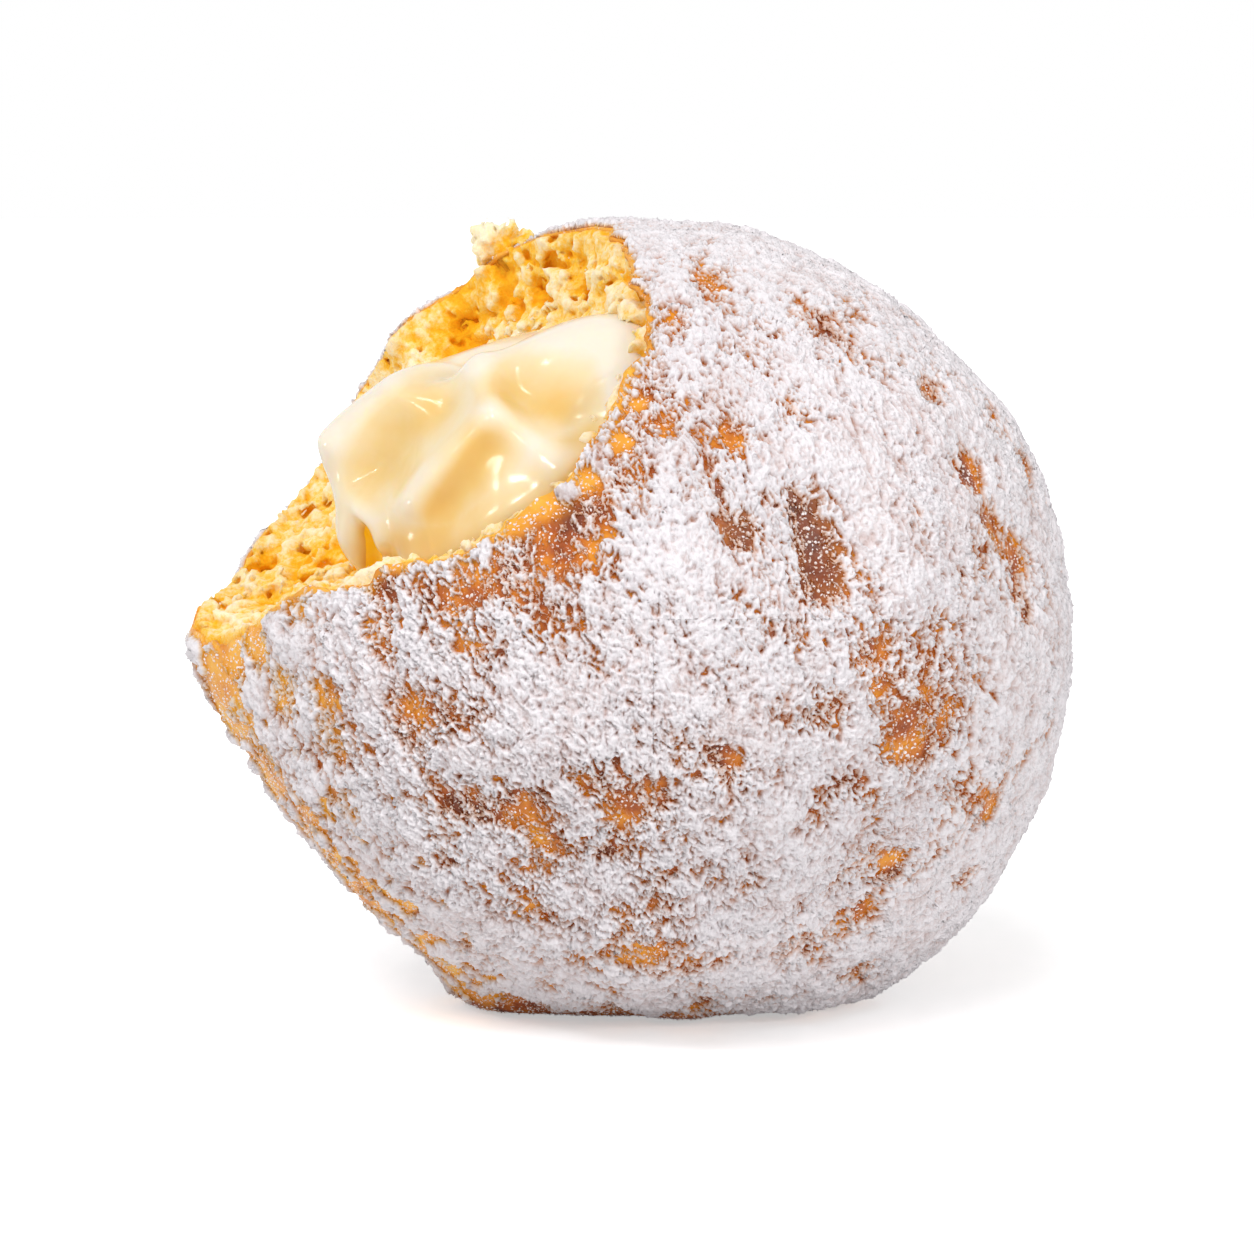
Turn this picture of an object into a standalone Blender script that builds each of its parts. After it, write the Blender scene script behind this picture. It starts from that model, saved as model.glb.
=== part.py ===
"""A cream-filled doughnut with one bite out of it.

The bun is a fried ball of yeast dough, a little wider than tall, that rests on a small flat
spot. One bite has taken its upper left side, down to the soft crumb, and the custard that
fills the bun bulges out of the bite. Crust and crumb are one piece of dough, so the object
is two solids: the dough, and the custard that runs into it.

Sizes are in millimetres and turned to metres where a mesh is made. +Z is up, the front is
towards -Y, and the origin is the bottom centre of the whole doughnut's box.
"""

import math

import bmesh
import bpy
from mathutils import Matrix, Vector, noise

MM = 0.001

# --- the bun -------------------------------------------------------------------------------
BUN_WIDTH = 75.0  # left to right, before its swellings
BUN_DEPTH = 75.5  # front to back
BUN_HEIGHT = 71.0  # as round as it fried, before it settled on its base
BASE_SETTLE = 1.5  # how much of the ball's foot has been pressed flat
BUN_GRID = 26  # squares along each side of the six patches that make the ball

# Soft swellings (+) and dents (-) of the bun: the way out from its centre, how far the crust
# stands out there, and how wide the swelling is, in degrees.
SWELLINGS = (
    ((-1.00, -0.10, 0.02), 4.6, 15),  # lip of the bite, pulled out to the left
    ((-0.80, -0.45, 0.20), 1.2, 16),  # the same lip, towards the front
    ((-0.36, -0.16, -0.93), 4.2, 10),  # heel of dough at the left of the base
    ((0.66, -0.10, -0.74), 2.4, 17),  # heavy lower right side
    ((0.90, -0.05, -0.42), 0.6, 14),
    ((0.35, -0.25, -0.90), 1.5, 14),
    ((0.97, -0.05, 0.20), -0.4, 14),
    ((0.75, 0.00, 0.66), -0.8, 13),  # the shoulder falls away at the upper right
    ((-0.25, 0.10, 0.96), 0.7, 12),
    ((-0.91, -0.41, -0.05), -0.9, 6),  # a scrap of crust torn away below the lip
    ((-0.78, -0.05, -0.62), -0.9, 18),  # flat flank at the lower left
    ((0.36, -0.89, 0.29), -2.3, 7),  # deep dimple in the front
    ((0.19, -0.93, 0.32), -1.1, 6),  # shallow dimple beside it
    ((0.28, -0.90, 0.31), 0.8, 4),  # the fold between the two
    ((0.55, -0.78, 0.30), 0.8, 8),  # fold right of the deep dimple
    ((0.84, -0.50, 0.22), -1.0, 7),  # crease down the right side
    ((-0.20, -0.86, -0.42), -1.3, 12),  # hollow low in the front
    ((-0.02, -0.78, -0.62), 1.0, 10),  # roll above the base
    ((0.48, -0.72, -0.50), -0.9, 9),
    ((0.30, 0.93, 0.20), -1.2, 14),  # hollows and rolls of the back
    ((-0.45, 0.87, -0.10), 1.0, 16),
    ((0.15, 0.80, -0.58), -0.9, 12),
    ((0.75, 0.62, 0.20), 0.8, 13),
)

# The crust's own unevenness: long creases that run from top to base, and lumps between them.
CREASE_HEIGHT = 0.55
CREASE_SPACING = 7.5  # from crease to crease round the bun
CREASE_STRETCH = 2.6  # how many times longer than wide
LUMP_HEIGHT = 0.30
LUMP_SIZE = 4.6

# --- the bite ------------------------------------------------------------------------------
BITE_OUT = (-0.675, -0.302, 0.674)  # the way the bitten face looks
BITE_ALONG = (0.68, 0.10, 0.73)  # the face's long way, from lower left to upper right
BITE_DEPTH = 20.4  # from the bun's centre to the bottom of the bowl that was bitten
# The torn edge, walking round the face: the angle from its long way in degrees, how far the
# edge is from the face's middle, and how high it stands above the bun's centre.
BITE_EDGE = (
    (0, 22.8, 28.0),
    (57, 22.4, 28.6),
    (78, 20.6, 30.0),
    (99, 25.8, 26.4),
    (113, 28.2, 24.2),
    (138, 28.7, 25.8),
    (177, 28.8, 29.8),
    (215, 22.9, 31.0),
    (238, 23.4, 29.4),
    (260, 26.4, 26.9),
    (282, 27.2, 25.3),
    (305, 26.0, 25.7),
    (330, 23.2, 27.5),
)
BITE_REACH = 34.0  # half the width of the tool that cuts the bite
BITE_GRID = 44  # squares along each side of that tool
CRAG_HEIGHT = 1.25  # torn crumb: how far its crags stand out
CRAG_SIZE = 5.0
CRUMB_HEIGHT = 0.75  # finer lumps on the crags
CRUMB_SIZE = 2.3

# A crumb pulled up at the top of the bite that still hangs on: its lumps' places along,
# across and out of the bitten face, and their radii.
TORN_CRUMBS = (
    ((16.0, 20.0, 28.9), 2.3),  # the loose end
    ((14.6, 20.4, 27.2), 1.9),
    ((16.3, 18.6, 26.8), 2.0),  # the neck that holds it
)
TORN_CRUMB_GRID = 4

# --- the custard ---------------------------------------------------------------------------
# Its place and half sizes are along, across and out of the bitten face, from the bun's centre.
CUSTARD_AT = (1.2, -5.0, 21.0)
CUSTARD_HALF_LENGTH = 15.8
CUSTARD_HALF_WIDTH = 17.5
CUSTARD_BULGE = 10.6  # how far it rises from its middle
CUSTARD_ROOT = 11.5  # how far it runs into the bun
CUSTARD_GRID = 14
CUSTARD_GAP = 0.35  # clearance all round, so that the two solids only just don't touch

# Lobes (+) and hollows (-) of the custard: the way out from its middle (along, across, out),
# how far it stands out, and how wide it is in degrees.
LOBES = (
    ((-0.56, 0.35, 0.75), 3.4, 13),  # peak at the left, where the spoon lifted off
    ((-0.25, 0.30, 0.90), 2.6, 34),  # the whole far side stands up behind the ridge
    ((-0.88, 0.02, 0.47), 2.2, 13),  # lobe that runs down left of the notch
    ((-0.92, -0.34, 0.18), -3.6, 12),  # the notch beside it
    ((0.90, -0.42, 0.15), 3.2, 16),  # tongue that follows the bite to the upper right
    ((0.30, 0.10, 0.95), -1.5, 13),  # hollow swept by the spoon
    ((-0.10, -0.30, 0.95), 1.0, 14),  # ridge that rises towards the front
    ((0.10, -0.75, 0.65), 1.0, 20),
    ((0.64, 0.33, 0.69), -4.4, 23),  # thin far edge at the right
)


def clear_scene():
    for obj in list(bpy.data.objects):
        bpy.data.objects.remove(obj, do_unlink=True)


def bite_frame():
    """The bitten face's own axes: along it, across it towards the back, and out of it."""
    out = Vector(BITE_OUT).normalized()
    along = Vector(BITE_ALONG)
    along = (along - along.project(out)).normalized()
    return along, out.cross(along), out


def ball(squares):
    """A unit ball of six square patches, each evenly divided, as a bmesh."""
    bm = bmesh.new()
    bmesh.ops.create_cube(bm, size=2.0)
    bmesh.ops.subdivide_edges(
        bm, edges=bm.edges[:], cuts=squares - 1, use_grid_fill=True
    )
    for vert in bm.verts:
        # The tangent keeps the squares the same size from the patch's middle to its corners.
        vert.co = Vector([math.tan(x * math.pi / 4) for x in vert.co]).normalized()
    return bm


def swell(way, bumps):
    """Height of all soft bumps met on the way out from a centre."""
    height = 0.0
    for bump_way, rise, spread in bumps:
        angle = way.angle(Vector(bump_way))
        height += rise * math.exp(-((angle / math.radians(spread)) ** 2))
    return height


def crust_relief(place):
    """Creases and lumps of the fried crust at a place on it, in millimetres."""
    upright = Vector((place.x, place.y, place.z / CREASE_STRETCH)) / CREASE_SPACING
    crease = noise.noise(upright) + 0.5 * noise.noise(upright * 2.1)
    lump = noise.noise(place / LUMP_SIZE)
    return CREASE_HEIGHT * crease + LUMP_HEIGHT * lump


def bun_radius(way):
    """Distance from the bun's centre to its crust, in millimetres."""
    half = (BUN_WIDTH / 2, BUN_DEPTH / 2, BUN_HEIGHT / 2)
    radius = 1 / math.sqrt(sum((x / r) ** 2 for x, r in zip(way, half)))
    radius += swell(way, SWELLINGS)
    return radius + crust_relief(way * radius)


def bite_bowl(a, b):
    """Height of the bitten bowl above the bun's centre, at a place along and across it."""
    angle = math.degrees(math.atan2(b, a)) % 360
    edge = BITE_EDGE + ((BITE_EDGE[0][0] + 360, *BITE_EDGE[0][1:]),)
    for (start, reach_0, rise_0), (end, reach_1, rise_1) in zip(edge, edge[1:]):
        if angle <= end:
            part = (angle - start) / (end - start)
            part = part * part * (3 - 2 * part)
            reach = reach_0 + (reach_1 - reach_0) * part
            rise = rise_0 + (rise_1 - rise_0) * part
            break
    return BITE_DEPTH + (rise - BITE_DEPTH) * (math.hypot(a, b) / reach) ** 2


def crumb_relief(place):
    """How far the torn crumb stands out at a place on it, in millimetres."""
    crags = noise.noise(place / CRAG_SIZE)
    crumbs = noise.noise(place / CRUMB_SIZE)
    return CRAG_HEIGHT * crags + CRUMB_HEIGHT * crumbs


def custard_radius(way):
    """Distance from the custard's middle to its skin, the way given along, across, out."""
    rise = CUSTARD_BULGE if way.z > 0 else CUSTARD_ROOT
    half = (CUSTARD_HALF_LENGTH, CUSTARD_HALF_WIDTH, rise)
    radius = 1 / math.sqrt(sum((x / r) ** 2 for x, r in zip(way, half)))
    return radius + swell(way, LOBES)


def make_object(name, bm, color, roughness, gloss=0.5):
    """Turns a bmesh that is in millimetres into an object with its own material."""
    mesh = bpy.data.meshes.new(name)
    bmesh.ops.scale(bm, vec=(MM, MM, MM), verts=bm.verts)
    bmesh.ops.recalc_face_normals(bm, faces=bm.faces)
    bm.to_mesh(mesh)
    bm.free()
    mesh.shade_smooth()
    material = bpy.data.materials.new(name)
    material.use_nodes = True
    shader = material.node_tree.nodes["Principled BSDF"]
    shader.inputs["Base Color"].default_value = (*color, 1.0)
    shader.inputs["Roughness"].default_value = roughness
    shader.inputs["Specular IOR Level"].default_value = gloss
    shader.inputs["Metallic"].default_value = 0.0
    mesh.materials.append(material)
    obj = bpy.data.objects.new(name, mesh)
    bpy.context.scene.collection.objects.link(obj)
    return obj


def make_bun():
    bm = ball(BUN_GRID)
    for vert in bm.verts:
        vert.co = vert.co * bun_radius(vert.co)
    return make_object("dough", bm, (0.80, 0.70, 0.62), 0.9, 0.2)


def make_bite_tool():
    """A block whose inner face is the bowl that the bite left, with its torn crags."""
    along, across, out = bite_frame()
    bm = bmesh.new()
    bmesh.ops.create_grid(
        bm, x_segments=BITE_GRID, y_segments=BITE_GRID, size=BITE_REACH
    )
    for vert in bm.verts:
        a, b = vert.co.x, vert.co.y
        place = along * a + across * b + out * bite_bowl(a, b)
        vert.co = place + out * crumb_relief(place)
    lifted = bmesh.ops.extrude_face_region(bm, geom=bm.faces[:])["geom"]
    lid = [item for item in lifted if isinstance(item, bmesh.types.BMVert)]
    bmesh.ops.translate(bm, vec=out * BUN_WIDTH, verts=lid)
    return make_object("bite_tool", bm, (0.9, 0.7, 0.3), 0.9)


def make_custard(name, grown=0.0):
    """The custard, or with grown the room that it needs in the dough."""
    turn = Matrix(bite_frame()).transposed()
    bm = ball(CUSTARD_GRID)
    for vert in bm.verts:
        vert.co = turn @ (Vector(CUSTARD_AT) + vert.co * custard_radius(vert.co))
    bm.normal_update()
    room = {vert: vert.normal * grown for vert in bm.verts}
    for vert, step in room.items():
        vert.co += step
    return make_object(name, bm, (0.97, 0.80, 0.42), 0.25)


def make_torn_crumb(middle, radius):
    """One craggy lump of the crumb that hangs on at the top of the bite."""
    turn = Matrix(bite_frame()).transposed()
    bm = ball(TORN_CRUMB_GRID)
    for vert in bm.verts:
        crag = 1 + 0.35 * noise.noise(vert.co * 1.7 + Vector(middle))
        vert.co = turn @ (Vector(middle) + vert.co * radius * crag)
    return make_object("torn_crumb", bm, (0.97, 0.80, 0.42), 0.9)


def combine(target, tool, operation):
    """Joins the tool to the target or cuts it out, then removes the tool."""
    modifier = target.modifiers.new(operation.title(), "BOOLEAN")
    modifier.operation = operation
    modifier.object = tool
    modifier.solver = "EXACT"
    graph = bpy.context.evaluated_depsgraph_get()
    made = bpy.data.meshes.new_from_object(target.evaluated_get(graph))
    target.modifiers.clear()
    target.data = made
    bpy.data.objects.remove(tool, do_unlink=True)


def settle(obj):
    """Cuts the ball's foot off flat, where its weight has pressed it on the table."""
    foot = (BASE_SETTLE - BUN_HEIGHT / 2) * MM
    bm = bmesh.new()
    bm.from_mesh(obj.data)
    cut = bmesh.ops.bisect_plane(
        bm,
        geom=bm.verts[:] + bm.edges[:] + bm.faces[:],
        plane_co=(0, 0, foot),
        plane_no=(0, 0, -1),
        clear_outer=True,
    )
    rim = [item for item in cut["geom_cut"] if isinstance(item, bmesh.types.BMEdge)]
    bmesh.ops.holes_fill(bm, edges=rim, sides=0)
    bm.to_mesh(obj.data)
    bm.free()


def place_on_origin(objects):
    """Moves everything so that the origin is the bottom centre of the whole box."""
    places = [vert.co for obj in objects for vert in obj.data.vertices]
    low = Vector([min(p[i] for p in places) for i in range(3)])
    high = Vector([max(p[i] for p in places) for i in range(3)])
    middle = (low + high) / 2
    for obj in objects:
        obj.data.transform(Matrix.Translation((-middle.x, -middle.y, -low.z)))


def main():
    clear_scene()
    dough = make_bun()
    settle(dough)
    combine(dough, make_bite_tool(), "DIFFERENCE")
    for middle, radius in TORN_CRUMBS:
        combine(dough, make_torn_crumb(middle, radius), "UNION")
    combine(dough, make_custard("custard_room", CUSTARD_GAP), "DIFFERENCE")
    custard = make_custard("custard")
    place_on_origin([dough, custard])


main()
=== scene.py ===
# %% [markdown]
# # A bitten doughnut, filled with custard and dusted with icing sugar
#
# A filled doughnut is a ball of yeast dough that is fried, filled through a nozzle and
# dusted with icing sugar. One bite shows all it is made of: a thin browned crust, a soft
# yellow crumb full of bubbles, and glossy custard that bulges out. Each of these has its
# own cell below, since each is made in another way.

import math

import bmesh
import bpy
import numpy as np
from mathutils import Matrix, Vector, noise
from mathutils.bvhtree import BVHTree


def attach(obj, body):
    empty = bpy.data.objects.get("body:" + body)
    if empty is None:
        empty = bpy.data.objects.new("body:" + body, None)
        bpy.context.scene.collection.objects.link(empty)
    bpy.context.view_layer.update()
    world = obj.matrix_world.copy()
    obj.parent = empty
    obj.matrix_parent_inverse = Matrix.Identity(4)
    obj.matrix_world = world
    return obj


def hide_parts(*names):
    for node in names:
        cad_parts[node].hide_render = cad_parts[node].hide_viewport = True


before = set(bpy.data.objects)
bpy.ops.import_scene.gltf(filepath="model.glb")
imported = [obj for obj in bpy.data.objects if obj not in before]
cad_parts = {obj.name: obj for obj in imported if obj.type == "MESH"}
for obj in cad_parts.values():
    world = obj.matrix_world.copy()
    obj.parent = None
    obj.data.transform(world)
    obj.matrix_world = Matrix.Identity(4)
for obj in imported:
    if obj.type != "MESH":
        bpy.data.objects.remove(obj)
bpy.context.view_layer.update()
MM = 0.001

# %% [markdown]
# ## Where things are on the doughnut
#
# The bun is a ball with a bite out of it, so a place on it is given best as on a globe:
# a direction from the bun's centre. The globe's north pole is put in the middle of the
# bite, and then the torn edge is simply a line that runs once round the pole. Everything
# is worked out in millimetres here, and turned to Blender's metres when a mesh is made.

# %% The globe's axes, and small helpers for directions
BUN_CENTRE = Vector((2.19, -0.08, 34.0))
BITE_OUT = Vector((-0.675, -0.302, 0.674)).normalized()
BITE_ALONG = Vector((0.68, 0.10, 0.73))
BITE_ALONG = (BITE_ALONG - BITE_ALONG.project(BITE_OUT)).normalized()
BITE_ACROSS = BITE_OUT.cross(BITE_ALONG)
AXES = np.array([BITE_ALONG, BITE_ACROSS, BITE_OUT])
CENTRE = np.array(BUN_CENTRE)
BUN_RADIUS = 37.5  # about: it turns directions into millimetres on the crust


def ways(polar, round_it):
    """Unit directions for angles from the bite's middle and angles round it, in radians."""
    flat = np.sin(polar)
    local = np.stack([flat * np.cos(round_it), flat * np.sin(round_it), np.cos(polar)], -1)
    return local @ AXES


def angles(way):
    """The two angles of unit directions, the other way round from ways()."""
    local = way @ AXES.T
    polar = np.arccos(np.clip(local[..., 2], -1, 1))
    return polar, np.arctan2(local[..., 1], local[..., 0]) % (2 * np.pi)


def smoothstep(low, high, value):
    """Nought below low, one above high, and an S-shaped rise between them."""
    part = np.clip((value - low) / (high - low), 0, 1)
    return part * part * (3 - 2 * part)


print("bite's middle looks towards", [round(x, 2) for x in BITE_OUT])

# %% [markdown]
# ## Reading the torn edge and the crust off the solid model
#
# The solid model has flat facets about 2 mm wide, too coarse to look at closely. Rays
# measure it instead, and smooth surfaces are built from what they find. Rays that run
# straight down into the bite meet higher and higher crumb towards the rim and then the
# crust, which falls away, so the torn edge is the highest place along each such line.

# %% Rays down into the bite
SPOKES = 360
SPOKE_STEP = 0.25
SPOKE_LENGTH = 33.0
RAGGED = ((2.2, 0.7), (0.9, 0.5))  # (size, how far the torn edge wanders) in mm
BITE_DEPTH = 20.4  # from the bun's centre to the bitten bowl's bottom
RIM_FROM = 15  # the torn edge lies farther out than this
RIM_REACH, RIM_RADIUS = 24, 37  # about how far it is from the bite's middle and the centre
TORN_AT = (16.0, 20.0, 28.9)  # a torn lump of crumb that still hangs on
LUMP_HALF = 4.2  # rays this near to the lump would mistake it for the torn edge
TORN_BALLS = (
    (15.9, 18.2, 29.9), (14.9, 18.7, 29.0), (16.6, 17.6, 28.9), (15.7, 17.6, 27.8), (16.8, 16.9, 27.2),
    (15.0, 17.0, 26.3), (16.1, 18.4, 28.2), (16.0, 16.0, 27.1), (15.4, 15.6, 25.8), (16.8, 15.4, 26.2),
)  # fmt: skip


def ray_tree(node):
    """A CAD node as a tree for rays, in millimetres."""
    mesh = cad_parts[node].data
    points = [vert.co / MM for vert in mesh.vertices]
    return BVHTree.FromPolygons(points, [face.vertices[:] for face in mesh.polygons])


def bite_point(along, across, out):
    """A place in the bite's own axes, as a place in the frame."""
    return BUN_CENTRE + BITE_ALONG * along + BITE_ACROSS * across + BITE_OUT * out


dough_tree = ray_tree("dough")
custard_tree = ray_tree("custard")
spoke_angles = np.arange(SPOKES) * 2 * np.pi / SPOKES
spoke_places = np.arange(0, SPOKE_LENGTH, SPOKE_STEP)
heights = np.full((SPOKES, len(spoke_places)), np.nan)
for i, angle in enumerate(spoke_angles):
    for j, reach in enumerate(spoke_places):
        a, b = reach * math.cos(angle), reach * math.sin(angle)
        hit = dough_tree.ray_cast(bite_point(a, b, 60), -BITE_OUT)[0]
        near_lump = math.hypot(a - TORN_AT[0], b - TORN_AT[1]) < LUMP_HALF
        if hit is not None and not near_lump:
            heights[i, j] = (hit - BUN_CENTRE).dot(BITE_OUT)
rim_index = np.nanargmax(np.where(spoke_places > RIM_FROM, heights, -1), axis=1)


def round_smooth(values, passes):
    """Smooths values that run once round the bite."""
    for _ in range(passes):
        values = (np.roll(values, 1) + 2 * values + np.roll(values, -1)) / 4
    return values


rim_reach = round_smooth(spoke_places[rim_index], 3)
rim_height = round_smooth(heights[np.arange(SPOKES), rim_index], 3)
rim_polar = np.arctan2(rim_reach, rim_height)
for size, much in RAGGED:
    round_rim = [Vector((math.cos(a), math.sin(a), 0)) * RIM_REACH / size for a in spoke_angles]
    rim_polar += [much / RIM_RADIUS * noise.noise(place) for place in round_rim]
print("torn edge from %.1f to %.1f mm out from the middle" % (rim_reach.min(), rim_reach.max()))

# %% [markdown]
# ## The bowl under the custard
#
# The dough has a pocket that holds the custard, and rays fall deep into it. A plain bowl,
# which rises from its bottom to the torn edge, stands in where a ray found nothing or
# went much too deep. The custard hides that part anyway.

# %% The bowl of the bite, with the custard's pocket closed
POCKET_DEPTH = 2.2  # a ray that ends this far under the plain bowl is in the pocket
outward = np.minimum(spoke_places / rim_reach[:, None], 1.0)
bowl = BITE_DEPTH + (rim_height[:, None] - BITE_DEPTH) * outward**2
inside = spoke_places[None, :] < rim_reach[:, None] - 0.2
unseen = np.isnan(heights) | (heights < bowl - POCKET_DEPTH) | ~inside
sheet_height = np.where(unseen, bowl, heights)

# %% [markdown]
# ## The whole bun, as if nobody had bitten it
#
# Rays from outside towards the centre measure the crust in 241 rows of 480 directions.
# Where the bite took the crust away, the table is filled as a soap film fills a ring of
# wire: each unknown entry takes the mean of its neighbours, over and over. A few more
# passes over all of it take the facets away.

# %% The crust's distance from the centre in every direction
TABLE_ROWS = 241
TABLE_COLS = 480
FILM_PASSES, FACET_PASSES = 1500, 10
RIM_MARGIN, LUMP_MARGIN = math.radians(1.2), math.radians(8)  # entries this near are unknown
MISSED = 37.0  # in mm, for a ray that meets nothing


def table_ways():
    """The angles of every entry of a table."""
    polar = np.linspace(0, np.pi, TABLE_ROWS)[:, None] + np.zeros((1, TABLE_COLS))
    round_it = np.zeros((TABLE_ROWS, 1)) + np.arange(TABLE_COLS) * 2 * np.pi / TABLE_COLS
    return polar, round_it


def look_up(table, polar, round_it):
    """A table's value at any angles, blended from the four entries around them."""
    row = polar / np.pi * (TABLE_ROWS - 1)
    col = round_it / (2 * np.pi) * TABLE_COLS
    i, j = np.floor(row).astype(int), np.floor(col).astype(int)
    u, v = row - i, col - j
    i = np.clip(i, 0, TABLE_ROWS - 1)
    i_next, j, j_next = np.minimum(i + 1, TABLE_ROWS - 1), j % TABLE_COLS, (j + 1) % TABLE_COLS
    low = table[i, j] * (1 - v) + table[i, j_next] * v
    return low * (1 - u) + (table[i_next, j] * (1 - v) + table[i_next, j_next] * v) * u


def rim_at(round_it):
    """Angle of the torn edge from the bite's middle, at angles round it."""
    whole = np.append(spoke_angles, 2 * np.pi)
    return np.interp(round_it, whole, np.append(rim_polar, rim_polar[0]))


polar, round_it = table_ways()
way_table = ways(polar, round_it)
crust_table = np.zeros(polar.shape)
for i in range(TABLE_ROWS):
    for j in range(TABLE_COLS):
        way = Vector(way_table[i, j])
        hit = dough_tree.ray_cast(BUN_CENTRE + way * 60, -way)[0]
        crust_table[i, j] = (hit - BUN_CENTRE).length if hit else MISSED
from_rim = polar - rim_at(round_it)
known = from_rim > RIM_MARGIN
lump_way = np.array(Vector(TORN_AT).normalized()) @ AXES
known &= (way_table @ lump_way) < math.cos(LUMP_MARGIN)
crust_table[~known] = crust_table[known].mean()


def neighbours_mean(table):
    """Mean of each entry's neighbours on the globe; a pole takes the mean of its ring."""
    up = np.vstack([table[1:2].mean(1, keepdims=True) + 0 * table[:1], table[:-1]])
    down = np.vstack([table[1:], table[-2:-1].mean(1, keepdims=True) + 0 * table[:1]])
    return (up + down + np.roll(table, 1, 1) + np.roll(table, -1, 1)) / 4


for _ in range(FILM_PASSES):
    crust_table = np.where(known, crust_table, neighbours_mean(crust_table))
for _ in range(FACET_PASSES):
    crust_table = 0.5 * crust_table + 0.5 * neighbours_mean(crust_table)
print("crust %.1f to %.1f mm from the centre" % (crust_table.min(), crust_table.max()))

# %% [markdown]
# ## Tools that every piece uses
#
# Blender can make a mesh from lists, but a surface as fine as icing sugar has hundreds of
# thousands of points, so they are handed over as whole arrays. Materials and Geometry
# Nodes trees are both made of nodes, so one helper adds a node of any kind.

# %% A colour, a node and a mesh
def colour(code):
    """An sRGB colour code as the linear red, green, blue and alpha that nodes take."""
    parts = [int(code[i : i + 2], 16) / 255 for i in (1, 3, 5)]
    return [c / 12.92 if c <= 0.04045 else ((c + 0.055) / 1.055) ** 2.4 for c in parts] + [1]


MATH, VECTOR, MIX = "ShaderNodeMath", "ShaderNodeVectorMath", "ShaderNodeMix"


def node(tree, kind, links=(), out=0, stops=None, **settings):
    """Adds a node and returns one of its outputs. links gives its inputs values or outputs."""
    new = tree.nodes.new(kind)
    for name, value in settings.items():
        setattr(new, name, value)
    for name, value in dict(links if isinstance(links, dict) else enumerate(links)).items():
        if isinstance(value, bpy.types.NodeSocket):
            tree.links.new(value, new.inputs[name])
        else:
            new.inputs[name].default_value = value
    if stops:
        ramp = new.color_ramp.elements
        while len(ramp) < len(stops):
            ramp.new(0.5)
        for element, (place, code) in zip(ramp, stops):
            element.position, element.color = place, colour(code)
    return new.outputs[out]


def place_in_mm(tree):
    """The place on the object that a material is asked about, in millimetres."""
    place = node(tree, "ShaderNodeTexCoord", out="Object")
    return node(tree, VECTOR, {0: place, "Scale": 1 / MM}, operation="SCALE")


def new_mesh(name, points, quads, triangles=()):
    """A smooth-shaded mesh with its faces outwards, from points in millimetres."""
    quads = np.asarray(quads, np.int32).reshape(-1, 4)
    triangles = np.asarray(triangles, np.int32).reshape(-1, 3)
    halves = np.vstack([quads[:, :3], quads[:, [0, 2, 3]], triangles])
    a, b, c = (points[halves[:, k]] - points.mean(0) for k in range(3))
    if (np.cross(a, b) * c).sum() < 0:
        quads, triangles = quads[:, ::-1], triangles[:, ::-1]
    corners = np.concatenate([quads.ravel(), triangles.ravel()])
    starts = np.arange(len(quads)) * 4
    starts = np.append(starts, len(quads) * 4 + np.arange(len(triangles)) * 3)
    mesh = bpy.data.meshes.new(name)
    mesh.vertices.add(len(points))
    mesh.vertices.foreach_set("co", (points * MM).astype(np.float32).ravel())
    mesh.loops.add(len(corners))
    mesh.loops.foreach_set("vertex_index", corners)
    mesh.polygons.add(len(starts))
    mesh.polygons.foreach_set("loop_start", starts.astype(np.int32))
    mesh.update(calc_edges=True)
    mesh.shade_smooth()
    return mesh


def keep_values(mesh, **values):
    """Keeps a number for each point on the mesh, for nodes to read."""
    for name, numbers in values.items():
        mesh.attributes.new(name, "FLOAT", "POINT").data.foreach_set(
            "value", np.asarray(numbers, np.float32).ravel()
        )


def new_piece(mesh, material=None):
    """Puts a mesh into the scene as an object of its own."""
    piece = bpy.data.objects.new(mesh.name, mesh)
    bpy.context.scene.collection.objects.link(piece)
    if material:
        mesh.materials.append(material)
    return piece


def new_material(name):
    """A material with a Principled BSDF, and its tree and shader."""
    material = bpy.data.materials.new(name)
    material.use_nodes = True
    return material, material.node_tree, material.node_tree.nodes["Principled BSDF"]


def on_body(piece, slot_name, *replaced):
    """Attaches a piece to the frame's root body and hides the nodes of the solid it replaces; slot_name is
    not used.
    """
    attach(piece, "root")
    if replaced:
        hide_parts(*replaced)
    print("%s: %d triangles" % (piece.name, sum(len(f.vertices) - 2 for f in piece.data.polygons)))


def value_noise(points, size, seed=0, octaves=2):
    """Smooth noise from about -1 to 1, for each point, with features of that size."""
    shift = Vector((seed * 17.3, seed * 5.1, seed * 9.7))
    found = [
        noise.fractal(Vector(p) / size + shift, 1.0, 2.0, octaves) for p in points.reshape(-1, 3)
    ]
    return np.array(found).reshape(points.shape[:-1])


# %% [markdown]
# ## Places on the side that faces the viewer
#
# The doughnut is looked at from in front and a little above. Marks such as dimples and
# brown patches are given as millimetres to the right and up on that view, and a ray puts
# each of them on the crust, so it stays in its place from any side.

# %% The view, and a way to point at the crust in it
VIEW_ELEVATION = math.radians(8)
VIEW_RIGHT = Vector((1, 0, 0))
VIEW_UP = Vector((0, math.sin(VIEW_ELEVATION), math.cos(VIEW_ELEVATION)))
VIEW_OUT = Vector((0, -math.cos(VIEW_ELEVATION), math.sin(VIEW_ELEVATION)))
NEAR_OUTLINE = 5.0  # the outline lies this much nearer than the bun's middle


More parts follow.
